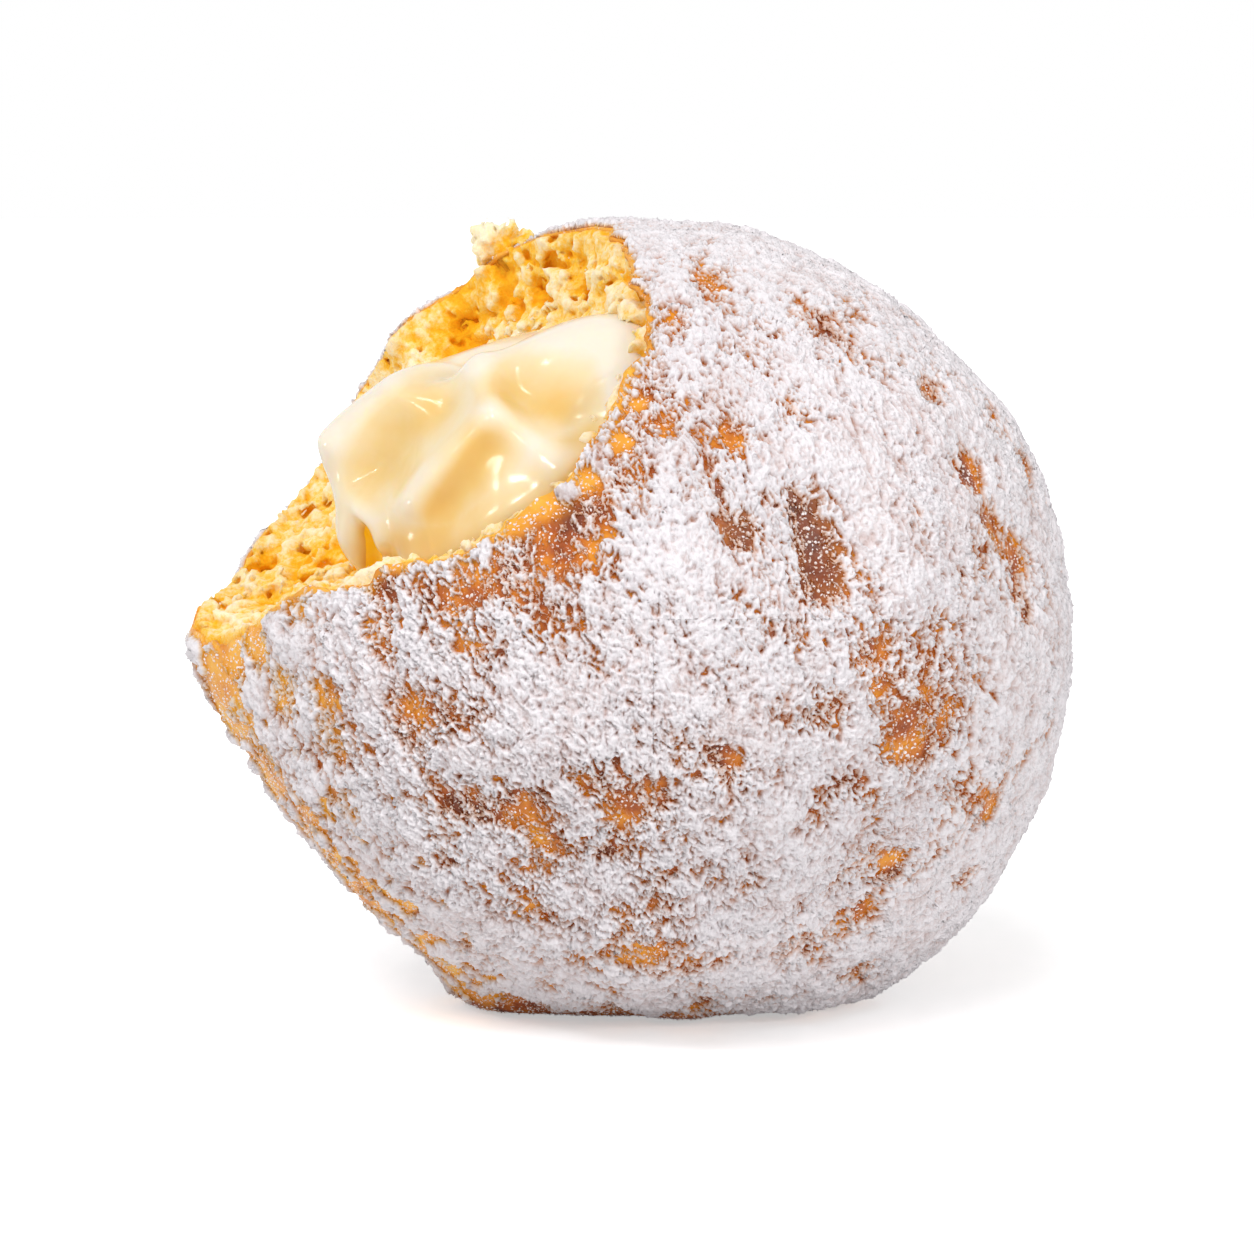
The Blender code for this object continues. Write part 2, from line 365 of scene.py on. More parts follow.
def way_seen(right, up):
    """The direction from the bun's centre to the crust seen at that place in the view."""
    start = BUN_CENTRE + VIEW_RIGHT * right + VIEW_UP * up + VIEW_OUT * 100
    hit = dough_tree.ray_cast(start, -VIEW_OUT)[0]
    if hit is None:
        hit = BUN_CENTRE + VIEW_RIGHT * right + VIEW_UP * up + VIEW_OUT * NEAR_OUTLINE
    return np.array((hit - BUN_CENTRE).normalized())


def patches(marks, way, radius, wobble):
    """How much of a patch there is in each direction, for (right, up, size, strength) marks."""
    found = np.zeros(radius.shape)
    for right, up, size, strength in marks:
        away = np.linalg.norm((way - way_seen(right, up)) * BUN_RADIUS, axis=-1)
        away = away * (1 + 0.35 * wobble)
        found = np.maximum(found, strength * (1 - smoothstep(0.3 * size, 1.9 * size, away)))
    return found


# %% [markdown]
# ## The crust
#
# Hot fat browns the outside of the dough and leaves it a thin skin that is palest in a band
# where the ball floated. In the dimples the skin is painted near-black brown, which is
# painted shade for these hollows. The skin is a thin closed shell here, open only where the
# bite is. Its rows of points run round the bite, so that one row lies exactly on the torn
# edge, as sharp as a real one.

# %% The crust's shape
OUTER_ROWS, INNER_ROWS, CRUST_COLS = 180, 38, 440
CRUST_SINK = 0.35  # under the solid's surface, to leave room for the sugar
CRUST_THICK = 0.4


def surface_radius(polar, round_it):
    """Radius of the whole crust, and how far a place is from the torn edge, in mm."""
    radius = look_up(crust_table, polar, round_it)
    return radius, (polar - rim_at(round_it)) * radius


crust_round = np.arange(CRUST_COLS)[None, :] * 2 * np.pi / CRUST_COLS
down = np.linspace(0, 1, OUTER_ROWS + 1)[:-1, None]
up_again = np.linspace(1, 0, INNER_ROWS + 1)[1:, None]
rim_here = rim_at(crust_round)
crust_polar = rim_here + np.vstack([down, up_again]) * (np.pi - rim_here)
crust_round = crust_round + 0 * crust_polar
radius, from_rim = surface_radius(crust_polar, crust_round)
is_inner = (np.arange(len(crust_polar)) >= OUTER_ROWS)[:, None] + 0.0 * radius
crust_radius = radius - CRUST_SINK - CRUST_THICK * is_inner
crust_way = ways(crust_polar, crust_round)
south = -np.array(BITE_OUT)
crust_points = CENTRE + (crust_way * crust_radius[..., None]).reshape(-1, 3)
poles = [south * crust_radius[OUTER_ROWS - 1].mean(), south * crust_radius[OUTER_ROWS].mean()]
crust_points = np.vstack([crust_points, CENTRE + np.array(poles)])
number = np.arange(crust_polar.size).reshape(crust_polar.shape)


def ring_quads(rings):
    """Faces between rings of point numbers, each joined to the next and to its own start."""
    beside = np.roll(rings, -1, axis=1)
    quads = np.stack([rings[:-1], beside[:-1], beside[1:], rings[1:]], -1)
    return quads.reshape(-1, 4)


def pole_fan(ring, pole):
    """Triangles that join a ring of points to one point."""
    return np.stack([0 * ring + pole, np.roll(ring, -1), ring], -1)


outer, inner = number[:OUTER_ROWS], number[OUTER_ROWS:]
around_edge = np.vstack([inner[-1:], outer[:1]])
crust_quads = np.vstack([ring_quads(outer), ring_quads(inner), ring_quads(around_edge)])
crust_fans = np.vstack(
    [pole_fan(outer[-1][::-1], number.size), pole_fan(inner[0], number.size + 1)]
)
crust_mesh = new_mesh("crust", crust_points, crust_quads, crust_fans)
print("crust mesh has", len(crust_mesh.polygons), "faces")

# %% [markdown]
# ## Where the crust shows through
#
# Dark dimples, brown patches and the pale band are lists of places on the view, each with
# a size in millimetres and a strength. They colour the crust and thin the sugar over it.
# Smooth noise varies the cover everywhere else, and right at the torn edge there is none.

# %% Where the crust is dark, pale or bare of sugar
# The dimples are painted near-black brown, as painted shade for these hollows, and the sugar over them is
# thinned.
DIMPLES = (  # (right, up, size, strength), as in all of these lists
    (11.9, 8.8, 2.2, 1.0), (12.8, 6.4, 2.4, 1.0), (13.6, 4.0, 2.2, 1.0), (7.0, 7.1, 1.7, 0.8),
)  # fmt: skip
BROWN_PATCHES = (
    (26.6, 12.1, 1.8, 0.9), (28.6, 8.3, 1.8, 0.9), (31.0, 5.1, 1.8, 0.9), (31.2, 1.4, 1.8, 0.8),
    (32.4, 13.7, 1.2, 0.6), (23.3, 19.0, 1.4, 0.7), (-1.4, 2.3, 1.2, 0.5), (17.8, -3.0, 1.5, 0.7),
    (18.6, -5.3, 1.4, 0.6), (11.6, 17.2, 1.5, 0.7), (6.5, 14.6, 1.2, 0.6), (2.1, 24.7, 1.4, 0.6),
    (5.1, 28.1, 1.6, 0.7), (-12.8, 3.1, 1.9, 0.8), (-11.1, 1.7, 1.6, 0.8), (-9.0, -0.3, 1.8, 0.7),
    (-13.6, -1.4, 1.8, 0.7), (-5.8, 5.9, 1.8, 0.7), (-22.0, -0.1, 2.2, 0.6), (-17.0, 2.2, 2.4, 0.6),
    (-19.0, -6.8, 1.8, 0.5), (-16.6, -8.0, 1.5, 0.5), (-17.1, -14.7, 2.4, 0.8),
    (-14.8, -15.7, 2.2, 0.8), (-11.2, -15.8, 2.4, 0.8), (-16.0, -18.5, 2.0, 0.6),
    (-9.0, -18.2, 2.2, 0.6), (-4.1, -12.8, 2.0, 0.8), (-2.1, -14.9, 2.2, 0.9),
    (-4.2, -18.5, 1.8, 0.6), (-0.4, -13.9, 1.6, 0.7), (-13.7, -21.9, 1.8, 0.5),
    (-10.7, -23.6, 1.8, 0.5), (-2.2, -24.9, 1.8, 0.4), (-0.7, -27.5, 1.5, 0.4),
    (13.8, -7.1, 1.8, 0.8), (20.9, -9.5, 2.6, 0.8), (24.1, -8.0, 1.8, 0.7), (6.2, -11.8, 1.6, 0.6),
    (17.5, -14.5, 2.0, 0.7), (13.6, -15.6, 1.8, 0.6), (27.6, -14.3, 1.6, 0.7),
    (29.1, -16.1, 1.5, 0.7), (20.0, -20.5, 1.8, 0.8), (17.2, -20.6, 1.8, 0.8),
    (27.3, -22.5, 1.5, 0.7), (17.7, -24.4, 1.8, 0.7), (16.0, -25.9, 1.6, 0.6),
    (18.3, -30.2, 1.8, 0.6), (11.1, -32.6, 1.6, 0.5),
)  # fmt: skip
PALE_PATCHES = (
    (-27.6, -6.8, 2.0, 0.5), (-26.8, -9.2, 1.8, 0.5), (-37.5, -5.5, 2.6, 1.1),
    (-33.0, -12.4, 2.2, 0.7), (-25.6, -15.6, 1.8, 0.5), (-29.5, -17.0, 2.0, 0.7),
    (-27.0, -22.1, 2.2, 0.7), (-24.6, -25.9, 2.2, 0.8), (-21.0, -28.6, 2.2, 0.8),
    (-35.0, -9.5, 2.2, 0.7), (-36.5, -2.0, 2.4, 1.4), (-34.0, -1.7, 2.2, 1.3),
    (-31.2, -5.9, 2.2, 0.8), (-36.5, -6.9, 2.0, 0.9), (-39.1, 0.9, 3.0, 1.6),
    (-33.0, 1.8, 2.4, 1.4), (-29.6, 1.5, 1.6, 0.7),
)  # fmt: skip
EDGE_PATCHES = (
    (-1.3, 17.5, 0.7, 0.7), (-2.6, 14.3, 0.9, 0.8), (-5.4, 11.4, 1.0, 0.8), (-8.0, 9.3, 1.1, 0.9),
    (-11.0, 7.6, 1.1, 0.9), (-14.0, 6.4, 1.0, 0.9), (-17.4, 5.3, 0.9, 0.8), (-20.6, 4.6, 0.8, 0.8),
)  # fmt: skip
LACY_PATCHES = (
    (0.6, 15.8, 1.3, 0.5), (-1.8, 11.6, 1.8, 0.65), (-5.0, 8.4, 2.2, 0.75), (-8.3, 6.2, 2.4, 0.8),
    (-11.5, 4.2, 2.4, 0.8), (-15.0, 3.0, 2.2, 0.7), (-18.5, 2.4, 2.0, 0.6), (-22.0, 2.0, 1.8, 0.5),
)  # fmt: skip
LOOSE_FLAKES = ((-7.2, 10.2, 0.8, 0.9), (-7.6, 11.4, 0.5, 0.7), (-4.3, 12.2, 0.4, 0.7))
BASE_PATCHES = ((-12.1, -33.3, 2.4, 0.8), (-4.4, -33.8, 2.6, 0.9), (4.1, -34.6, 2.6, 0.8))

LUMP_PLACE = np.array(TORN_AT) @ AXES


def place_maps(polar, round_it):
    """Cover of sugar in mm, and how dark and pale the crust is, in each direction."""
    way = ways(polar, round_it)
    radius, from_rim = surface_radius(polar, round_it)
    wobble = value_noise(way * BUN_RADIUS, 2.2, 3)
    broad = value_noise(way * BUN_RADIUS, 13.0, 5)
    middle = value_noise(way * BUN_RADIUS, 4.5, 9)
    dark = patches(DIMPLES, way, radius, wobble)
    brown = patches(BROWN_PATCHES, way, radius, wobble)
    pale = patches(PALE_PATCHES, way, radius, wobble)
    base = patches(BASE_PATCHES, way, radius, wobble)
    foot = 1 - smoothstep(0.2, 1.8, CENTRE[2] + way[..., 2] * radius)
    edge = patches(EDGE_PATCHES, way, radius, wobble)
    lacy = patches(LACY_PATCHES, way, radius, wobble)
    cover = 0.48 + 0.26 * broad + 0.3 * middle
    cover = np.minimum(cover, 0.85) - 0.63 * np.maximum.reduce([dark, brown, pale, base, lacy])
    right, up, out = (way @ np.array(axis) for axis in (VIEW_RIGHT, VIEW_UP, VIEW_OUT))
    low_left = np.degrees(np.arctan2(-up, -right))
    beyond = out - 0.2 - 0.2 * np.exp(-(((low_left - 42) / 16) ** 2))
    by_outline = smoothstep(1, 8, low_left) * (1 - smoothstep(60, 72, low_left))
    by_outline *= smoothstep(-0.4, -0.1, beyond) * (1 - smoothstep(0.0, 0.3, beyond))
    outline = np.clip(1.5 * by_outline + 1.8 * wobble - 0.75, 0, 1) * (by_outline > 0)
    cover -= 1.0 * edge + 1.4 * foot + 0.9 * outline
    pale = np.maximum.reduce([pale, 0.8 * edge, outline, 0.9 * (1 - smoothstep(0.3, 1.6, from_rim))])
    by_lump = 1 - smoothstep(3, 9, np.linalg.norm(way * radius[..., None] - LUMP_PLACE, axis=-1))
    torn = 1 - smoothstep(0.0, 0.5 + 0.3 * wobble + 2.5 * by_lump, from_rim)
    cover = np.where(torn > 0, np.minimum(cover, 0.4 - 0.5 * torn), cover)
    cover += 1.1 * patches(LOOSE_FLAKES, way, radius, wobble)
    return cover, dark, pale


cover_table, dark_table, pale_table = place_maps(polar, round_it)
print("sugar cover from %.2f to %.2f mm" % (cover_table.min(), cover_table.max()))


def with_poles(values):
    """The values with two more, for the points at the outer and the inner pole."""
    poles = [values[OUTER_ROWS - 1].mean(), values[OUTER_ROWS].mean()]
    return np.concatenate([values.ravel(), poles])


cover_here = look_up(cover_table, crust_polar, crust_round)
bare_here = 1 - smoothstep(-0.05, 0.35, cover_here)
keep_values(
    crust_mesh,
    dark=with_poles(look_up(dark_table, crust_polar, crust_round)),
    pale=with_poles(look_up(pale_table, crust_polar, crust_round)),
    inner=with_poles(is_inner),
    bare=with_poles(bare_here * (1 - is_inner) * (from_rim > 0.15)),
)

# %% [markdown]
# ## The crust's finish
#
# Fried dough is orange-brown because its sugars have browned in patches a few millimetres
# wide, and it has a faint sheen of fat. The skin is finely blistered, so it sparkles a
# little but never mirrors. Small white specks of sugar lie wherever the coat is thin.

# %% Fried dough
def crust_colour(tree, in_mm):
    """The browned skin's colour, for any material through which it shows."""
    dark = node(tree, "ShaderNodeAttribute", attribute_name="dark", out="Fac")
    pale = node(tree, "ShaderNodeAttribute", attribute_name="pale", out="Fac")
    noise_in = {"Vector": in_mm, "Scale": 1 / 3.0, "Detail": 4.0}
    browning = node(tree, "ShaderNodeTexNoise", noise_in)
    browns = [(0.3, "#702C04"), (0.44, "#A34C08"), (0.56, "#CC7410"), (0.72, "#E8981E")]
    brown = node(tree, "ShaderNodeValToRGB", (browning,), stops=browns)
    golds = [(0.3, "#DB8412"), (0.5, "#F0A426"), (0.7, "#F6BF4C")]
    golden = node(tree, "ShaderNodeValToRGB", (browning,), stops=golds)
    # painted shade: near-black brown for the dimples' hollows
    painted_dimple_shades = [(0.35, "#3C1003"), (0.6, "#7A3408")]
    deep = node(tree, "ShaderNodeValToRGB", (browning,), stops=painted_dimple_shades)
    skin = node(tree, MIX, {0: pale, 6: brown, 7: golden}, out=2, data_type="RGBA")
    return node(tree, MIX, {0: dark, 6: skin, 7: deep}, out=2, data_type="RGBA")


fried, tree, shader = new_material("fried_dough_crust")
in_mm = place_in_mm(tree)
inner = node(tree, "ShaderNodeAttribute", attribute_name="inner", out="Fac")
skin = crust_colour(tree, in_mm)
inside = colour("#E79A1E")
skin = node(tree, MIX, {0: inner, 6: skin, 7: inside}, out=2, data_type="RGBA")
specks = node(tree, "ShaderNodeTexNoise", {"Vector": in_mm, "Scale": 1 / 0.3, "Detail": 3.0})
speck = node(
    tree, "ShaderNodeMapRange", {"Value": specks, "From Min": 0.6, "From Max": 0.68, "To Max": 0.7}
)
outer = node(tree, MATH, (1.0, inner), operation="SUBTRACT")
speck = node(tree, MATH, (speck, outer), operation="MULTIPLY")
skin = node(tree, MIX, {0: speck, 6: skin, 7: colour("#F1E2D6")}, out=2, data_type="RGBA")
blisters = node(tree, "ShaderNodeTexNoise", {"Vector": in_mm, "Scale": 1 / 0.5, "Detail": 4.0})
bump = node(
    tree, "ShaderNodeBump", {"Height": blisters, "Strength": 0.6, "Distance": 0.25 * MM}, out="Normal"
)
tree.links.new(skin, shader.inputs["Base Color"])
tree.links.new(bump, shader.inputs["Normal"])
shader.inputs["Roughness"].default_value = 0.42
shader.inputs["Subsurface Weight"].default_value = 0.08
shader.inputs["Subsurface Radius"].default_value = (2.0 * MM, 0.8 * MM, 0.3 * MM)
shader.inputs["Subsurface Scale"].default_value = 1.0
crust = new_piece(crust_mesh, fried)
on_body(crust, "dough", "dough")

# %% [markdown]
# ## The icing sugar
#
# Icing sugar is ground so fine that it clings in a felt-like coat: clumps and short
# strands with holes between them. The coat is thick in some places and bare in others.
# A picture of sugar would look painted on, so the coat is a real surface, displaced by
# Geometry Nodes: wrinkles, flakes, crossing strands and grain, each with its size in
# millimetres. Where the coat sinks under the crust, the crust shows.

# %% The tree that raises the sugar's relief
RELIEF_SIZES = {
    "Wrinkle size": 3.0, "Wrinkle height": 1.0, "Flake size": 0.95, "Flake height": 0.8,
    "Strand spacing": 1.0, "Strand height": 0.28, "Fine strand spacing": 0.48,
    "Fine strand height": 0.22, "Grain size": 0.24, "Grain height": 0.22,
}  # fmt: skip
SUGAR_STROKE = Vector((0.365, -0.397, -0.841)).normalized()  # the way its strands run


def tree_inputs(tree, **defaults):
    """Gives a tree its geometry sockets and an input for each name.

    A name with a number takes a number, "Material" a material, and any other an object.
    """
    tree.interface.new_socket("Geometry", in_out="INPUT", socket_type="NodeSocketGeometry")
    tree.interface.new_socket("Geometry", in_out="OUTPUT", socket_type="NodeSocketGeometry")
    for name, value in defaults.items():
        kind = "NodeSocketFloat" if value is not None else "NodeSocketObject"
        kind = "NodeSocketMaterial" if name == "Material" else kind
        socket = tree.interface.new_socket(name, in_out="INPUT", socket_type=kind)
        if value is not None:
            socket.default_value = value
    group_in = tree.nodes.new("NodeGroupInput")
    group_out = tree.nodes.new("NodeGroupOutput")
    return group_in.outputs, group_out.inputs


def run_tree(piece, tree, inputs):
    """Runs a tree on a piece with these inputs and turns the result into its plain mesh."""
    modifier = piece.modifiers.new(tree.name, "NODES")
    modifier.node_group = tree
    for item in tree.interface.items_tree:
        if item.in_out == "INPUT" and item.name in inputs:
            modifier[item.identifier] = inputs[item.name]
    bpy.context.view_layer.update()
    found = bpy.data.meshes.new_from_object(
        piece.evaluated_get(bpy.context.evaluated_depsgraph_get())
    )
    piece.modifiers.remove(modifier)
    name = piece.data.name
    old, piece.data = piece.data, found
    bpy.data.meshes.remove(old)
    found.name = name


relief = bpy.data.node_groups.new("sugar_relief", "GeometryNodeTree")
sizes, result = tree_inputs(relief, **RELIEF_SIZES, Material=None)
place = node(relief, "GeometryNodeInputPosition")
from_centre = node(relief, VECTOR, (place, BUN_CENTRE * MM), operation="SUBTRACT")
outwards = node(relief, VECTOR, (from_centre,), operation="NORMALIZE")
in_mm = node(relief, VECTOR, {0: outwards, "Scale": BUN_RADIUS}, operation="SCALE")


def sugar_texture(tree, place, size, stretch, seed, **settings):
    """Noise about nought whose features have that size, and are longer along the strokes."""
    along = node(tree, VECTOR, (place, SUGAR_STROKE), operation="DOT_PRODUCT", out="Value")
    less = node(tree, MATH, (along, 1 / stretch - 1), operation="MULTIPLY")
    back = node(tree, VECTOR, {0: SUGAR_STROKE, "Scale": less}, operation="SCALE")
    squeezed = node(tree, VECTOR, (place, back), operation="ADD")
    squeezed = node(tree, VECTOR, (squeezed, (seed, 0, seed)), operation="ADD")
    scale = node(tree, MATH, (1.0, size), operation="DIVIDE")
    value = node(tree, "ShaderNodeTexNoise", {"Vector": squeezed, "Scale": scale, **settings})
    return node(tree, MATH, (value, 0.5), operation="SUBTRACT")


def relief_part(name, stretch, seed, **settings):
    """One layer of relief, with its size and height from the tree's inputs."""
    height = sizes[name + " height"]
    if "trand" in name:
        value = sugar_texture(relief, in_mm, sizes[name + " spacing"], stretch, seed, **settings)
        value = node(relief, MATH, (value,), operation="ABSOLUTE")
        value = node(relief, MATH, (value, -9.0, 0.75), operation="MULTIPLY_ADD")
        value = node(relief, MATH, (value, -1.4), operation="MAXIMUM")
    else:
        value = sugar_texture(relief, in_mm, sizes[name + " size"], stretch, seed, **settings)
    return node(relief, MATH, (value, height), operation="MULTIPLY")


shape = relief_part("Wrinkle", 2.4, 0.0, Detail=3.0)
for name, stretch, seed, settings in (
    ("Flake", 1.7, 3.0, {"Detail": 3.0, "Distortion": 0.6}),
    ("Strand", 1.8, 11.0, {"Detail": 1.0, "Distortion": 1.2}),
    ("Fine strand", 1.5, 23.0, {"Detail": 1.0, "Distortion": 1.0}),
    ("Grain", 1.0, 41.0, {"Detail": 2.0}),
):
    part = relief_part(name, stretch, seed, **settings)
    shape = node(relief, MATH, (shape, part), operation="ADD")
cover = node(relief, "GeometryNodeInputNamedAttribute", {"Name": "cover"}, data_type="FLOAT")
held = node(relief, "ShaderNodeMapRange", {"Value": cover, "From Min": -0.6, "From Max": -0.1})
thick = node(
    relief, "ShaderNodeMapRange",
    {"Value": cover, "From Min": 0.3, "From Max": 0.8, "To Min": 1.0, "To Max": 0.5},
)  # fmt: skip
held = node(relief, MATH, (held, thick), operation="MULTIPLY")
height = node(relief, MATH, (shape, held, cover), operation="MULTIPLY_ADD")
push = node(relief, MATH, (height, MM), operation="MULTIPLY")
push = node(relief, VECTOR, {0: outwards, "Scale": push}, operation="SCALE")
kept = node(relief, "GeometryNodeInputNamedAttribute", {"Name": "moves"}, data_type="FLOAT")
moved = node(relief, VECTOR, {0: push, "Scale": kept}, operation="SCALE")
shaped = node(relief, "GeometryNodeSetPosition", {"Geometry": sizes["Geometry"], "Offset": moved})
for name, value in (("height", height), ("hollow", shape)):
    shaped = node(
        relief, "GeometryNodeStoreNamedAttribute",
        {"Geometry": shaped, "Name": name, "Value": value}, data_type="FLOAT", domain="POINT",
    )  # fmt: skip
shaped = node(relief, "GeometryNodeRealizeInstances", {"Geometry": shaped})
shaped = node(relief, "GeometryNodeSetMaterial", {"Geometry": shaped, "Material": sizes["Material"]})
relief.links.new(shaped, result["Geometry"])
print("sugar relief has", len(relief.nodes), "nodes")

# %% [markdown]
# ## The sugar's finish
#
# Icing sugar is white and quite matt, since its grains are far too small to glint one by
# one. In hollows a grey-mauve is painted into its colour, as painted shade, and where the
# coat is thinnest the brown crust tints it.

# %% Icing sugar
icing, tree, shader = new_material("icing_sugar")
in_mm = place_in_mm(tree)
height = node(tree, "ShaderNodeAttribute", attribute_name="height", out="Fac")
hollow = node(tree, "ShaderNodeAttribute", attribute_name="hollow", out="Fac")
kept = node(tree, "ShaderNodeAttribute", attribute_name="moves", out="Fac")
lace = sugar_texture(tree, in_mm, 0.22, 1.6, 7.0, Detail=3.0, Distortion=0.8)
lifted = node(tree, MATH, (lace, 0.7, height), operation="MULTIPLY_ADD")
bare = node(tree, "ShaderNodeMapRange", {"Value": lifted, "From Min": 0.03, "From Max": 0.14})
veil = node(tree, "ShaderNodeMapRange", {"Value": height, "From Min": 0.08, "From Max": 0.42})
# painted shade: a grey-mauve that deepens the lower the relief lies, in the hollows between clumps and
# strands
deep = node(tree, MATH, (lace, 0.6, hollow), operation="MULTIPLY_ADD")
shade = node(tree, "ShaderNodeMapRange", {"Value": deep, "From Min": -0.5, "From Max": 0.2})
white = node(
    tree, MIX, {0: shade, 6: colour("#CFB9B5"), 7: colour("#F0EBEE")}, out=2, data_type="RGBA"
)
golden = node(tree, "ShaderNodeAttribute", attribute_name="pale", out="Fac")
thin = node(
    tree, MIX, {0: golden, 6: colour("#DFB08C"), 7: colour("#F6CF88")}, out=2, data_type="RGBA"
)
veiled = node(tree, MIX, {0: veil, 6: thin, 7: colour("#FFFFFF")}, out=2, data_type="RGBA")
white = node(tree, MIX, {0: 1.0, 6: white, 7: veiled}, out=2, data_type="RGBA", blend_type="MULTIPLY")
white = node(tree, MIX, {0: bare, 6: crust_colour(tree, in_mm), 7: white}, out=2, data_type="RGBA")
side = node(tree, "ShaderNodeMapRange", {"Value": kept, "From Min": 0.985, "From Max": 0.999})
white = node(tree, MIX, {0: side, 6: colour("#E79A1E"), 7: white}, out=2, data_type="RGBA")
bump = node(
    tree, "ShaderNodeBump", {"Height": lace, "Strength": 0.7, "Distance": 0.25 * MM}, out="Normal"
)
tree.links.new(white, shader.inputs["Base Color"])
tree.links.new(bump, shader.inputs["Normal"])
shader.inputs["Roughness"].default_value = 0.95
shader.inputs["Specular IOR Level"].default_value = 0.2

# %% [markdown]
# ## The sugar as patches
#
# One mesh would be too big, so the globe is cut up like a cube, into six faces of evenly
# spread points. The front is looked at most, so its points are the closest together and
# it is cut into four. Each patch is closed by sides that run to one point deep inside the
# dough, behind the bite, where nothing shows.

# %% The patches of sugar
FRONT_CELLS, SIDE_CELLS, BACK_CELLS = 520, 280, 200  # along one side of a face of the globe
FACE_ANGLE = math.pi / 4
SUGAR_STARTS = 0.12  # from the torn edge
APEX_OUT, APEX_BACK = 14, 16  # in mm: the point inside that closes a patch


def globe_patch(out, right, up, across, upwards):
    """Directions over part of one of six faces, given the angles across it and up it."""
    u, v = np.tan(across)[None, :, None], np.tan(upwards)[:, None, None]
    way = np.array(out) + u * np.array(right) + v * np.array(up)
    return way / np.linalg.norm(way, axis=-1, keepdims=True)


def sugar_patch(name, way):
    """A closed patch of sugar over a grid of directions, without what lies in the bite."""
    polar, round_it = angles(way)
    radius, from_rim = surface_radius(polar, round_it)
    base = radius - CRUST_SINK
    points = CENTRE + way * base[..., None]
    rows, cols = base.shape
    number = np.arange(rows * cols).reshape(rows, cols)
    quads = np.stack([number[:-1, :-1], number[:-1, 1:], number[1:, 1:], number[1:, :-1]], -1)
    there = from_rim > SUGAR_STARTS
    used = there[:-1, :-1] & there[:-1, 1:] & there[1:, 1:] & there[1:, :-1]
    quads = quads[used]
    edges = np.vstack([quads[:, [0, 1]], quads[:, [1, 2]], quads[:, [2, 3]], quads[:, [3, 0]]])
    size = rows * cols
    codes = edges[:, 0] * size + edges[:, 1]
    border = edges[~np.isin(codes, edges[:, 1] * size + edges[:, 0])]
    numbers, packed = np.unique(quads, return_inverse=True)
    quads = packed.reshape(quads.shape)
    new_number = np.zeros(size, int)
    new_number[numbers] = np.arange(len(numbers))
    border = new_number[border]
    middle = len(numbers)
    apex = CENTRE + APEX_OUT * way.reshape(-1, 3)[numbers].mean(0) - APEX_BACK * np.array(BITE_OUT)
    points = np.vstack([points.reshape(-1, 3)[numbers], apex])
    fan = np.stack([border[:, 1], border[:, 0], 0 * border[:, 0] + middle], -1)
    mesh = new_mesh(name, points, quads, fan)
    kept = {"cover": cover_table, "dark": dark_table, "pale": pale_table}
    for key, table in kept.items():
        found = look_up(table, polar, round_it).ravel()[numbers]
        keep_values(mesh, **{key: np.append(found, 0)})
    keep_values(mesh, moves=np.append(np.ones(middle), 0))
    ends = np.zeros(len(mesh.edges) * 2, np.int32)
    mesh.edges.foreach_get("vertices", ends)
    ends = ends.reshape(-1, 2)
    end_codes = ends.min(1) * (middle + 1) + ends.max(1)
    border_codes = border.min(1) * (middle + 1) + border.max(1)
    is_border = np.isin(end_codes, border_codes)
    mesh.attributes.new("sharp_edge", "BOOLEAN", "EDGE").data.foreach_set("value", is_border)
    return mesh


def halves(cells, parts):
    """The angles over a face, split into parts that share their end."""
    whole = np.linspace(-FACE_ANGLE, FACE_ANGLE, cells + 1)
    step = cells // parts
    return [whole[k * step : (k + 1) * step + 1] for k in range(parts)]


faces = {
    "front": (VIEW_OUT, VIEW_RIGHT, VIEW_UP, FRONT_CELLS, 2),
    "back": (-VIEW_OUT, -VIEW_RIGHT, VIEW_UP, BACK_CELLS, 1),
    "right": (VIEW_RIGHT, -VIEW_OUT, VIEW_UP, SIDE_CELLS, 1),
    "left": (-VIEW_RIGHT, VIEW_OUT, VIEW_UP, SIDE_CELLS, 1),
    "top": (VIEW_UP, VIEW_RIGHT, -VIEW_OUT, SIDE_CELLS, 1),
    "bottom": (-VIEW_UP, VIEW_RIGHT, VIEW_OUT, SIDE_CELLS, 1),
}
for side, (out, right, up, cells, parts) in faces.items():
    for n, across in enumerate(halves(cells, parts)):
        for m, upwards in enumerate(halves(cells, parts)):
            way = globe_patch(out, right, up, across, upwards)
            name = "sugar_" + side + ("_%d%d" % (m, n) if parts > 1 else "")
            patch = new_piece(sugar_patch(name, way))
            run_tree(patch, relief, {**RELIEF_SIZES, "Material": icing})
            on_body(patch, "dough")

# %% [markdown]
# ## Loose sugar
#
# Where the coat is thin, single clumps of sugar still lie on the crust. They are far too
# many to place by hand, so a tree scatters them: it picks places on the crust at random,
# more of them where the crust is bare, and puts a small lump of twenty faces on each.

# %% The tree that scatters sugar
GRAIN_SIZES = {"Grains per mm2": 4.0, "Grain radius": 0.12, "Smallest": 0.25, "Seed": 4.0}
scatter = bpy.data.node_groups.new("loose_sugar", "GeometryNodeTree")
sizes, result = tree_inputs(scatter, **GRAIN_SIZES, Material=None)
bare = node(scatter, "GeometryNodeInputNamedAttribute", {"Name": "bare"}, data_type="FLOAT")
many = node(scatter, MATH, (bare, sizes["Grains per mm2"]), operation="MULTIPLY")
many = node(scatter, MATH, (many, 1 / MM**2), operation="MULTIPLY")
spots = node(
    scatter, "GeometryNodeDistributePointsOnFaces",
    {"Mesh": sizes["Geometry"], "Density": many, "Seed": sizes["Seed"]},
)  # fmt: skip
radius = node(scatter, MATH, (sizes["Grain radius"], MM), operation="MULTIPLY")
lump = node(scatter, "GeometryNodeMeshIcoSphere", {"Radius": radius, "Subdivisions": 1})
low = node(scatter, "ShaderNodeCombineXYZ", [sizes["Smallest"]] * 3)
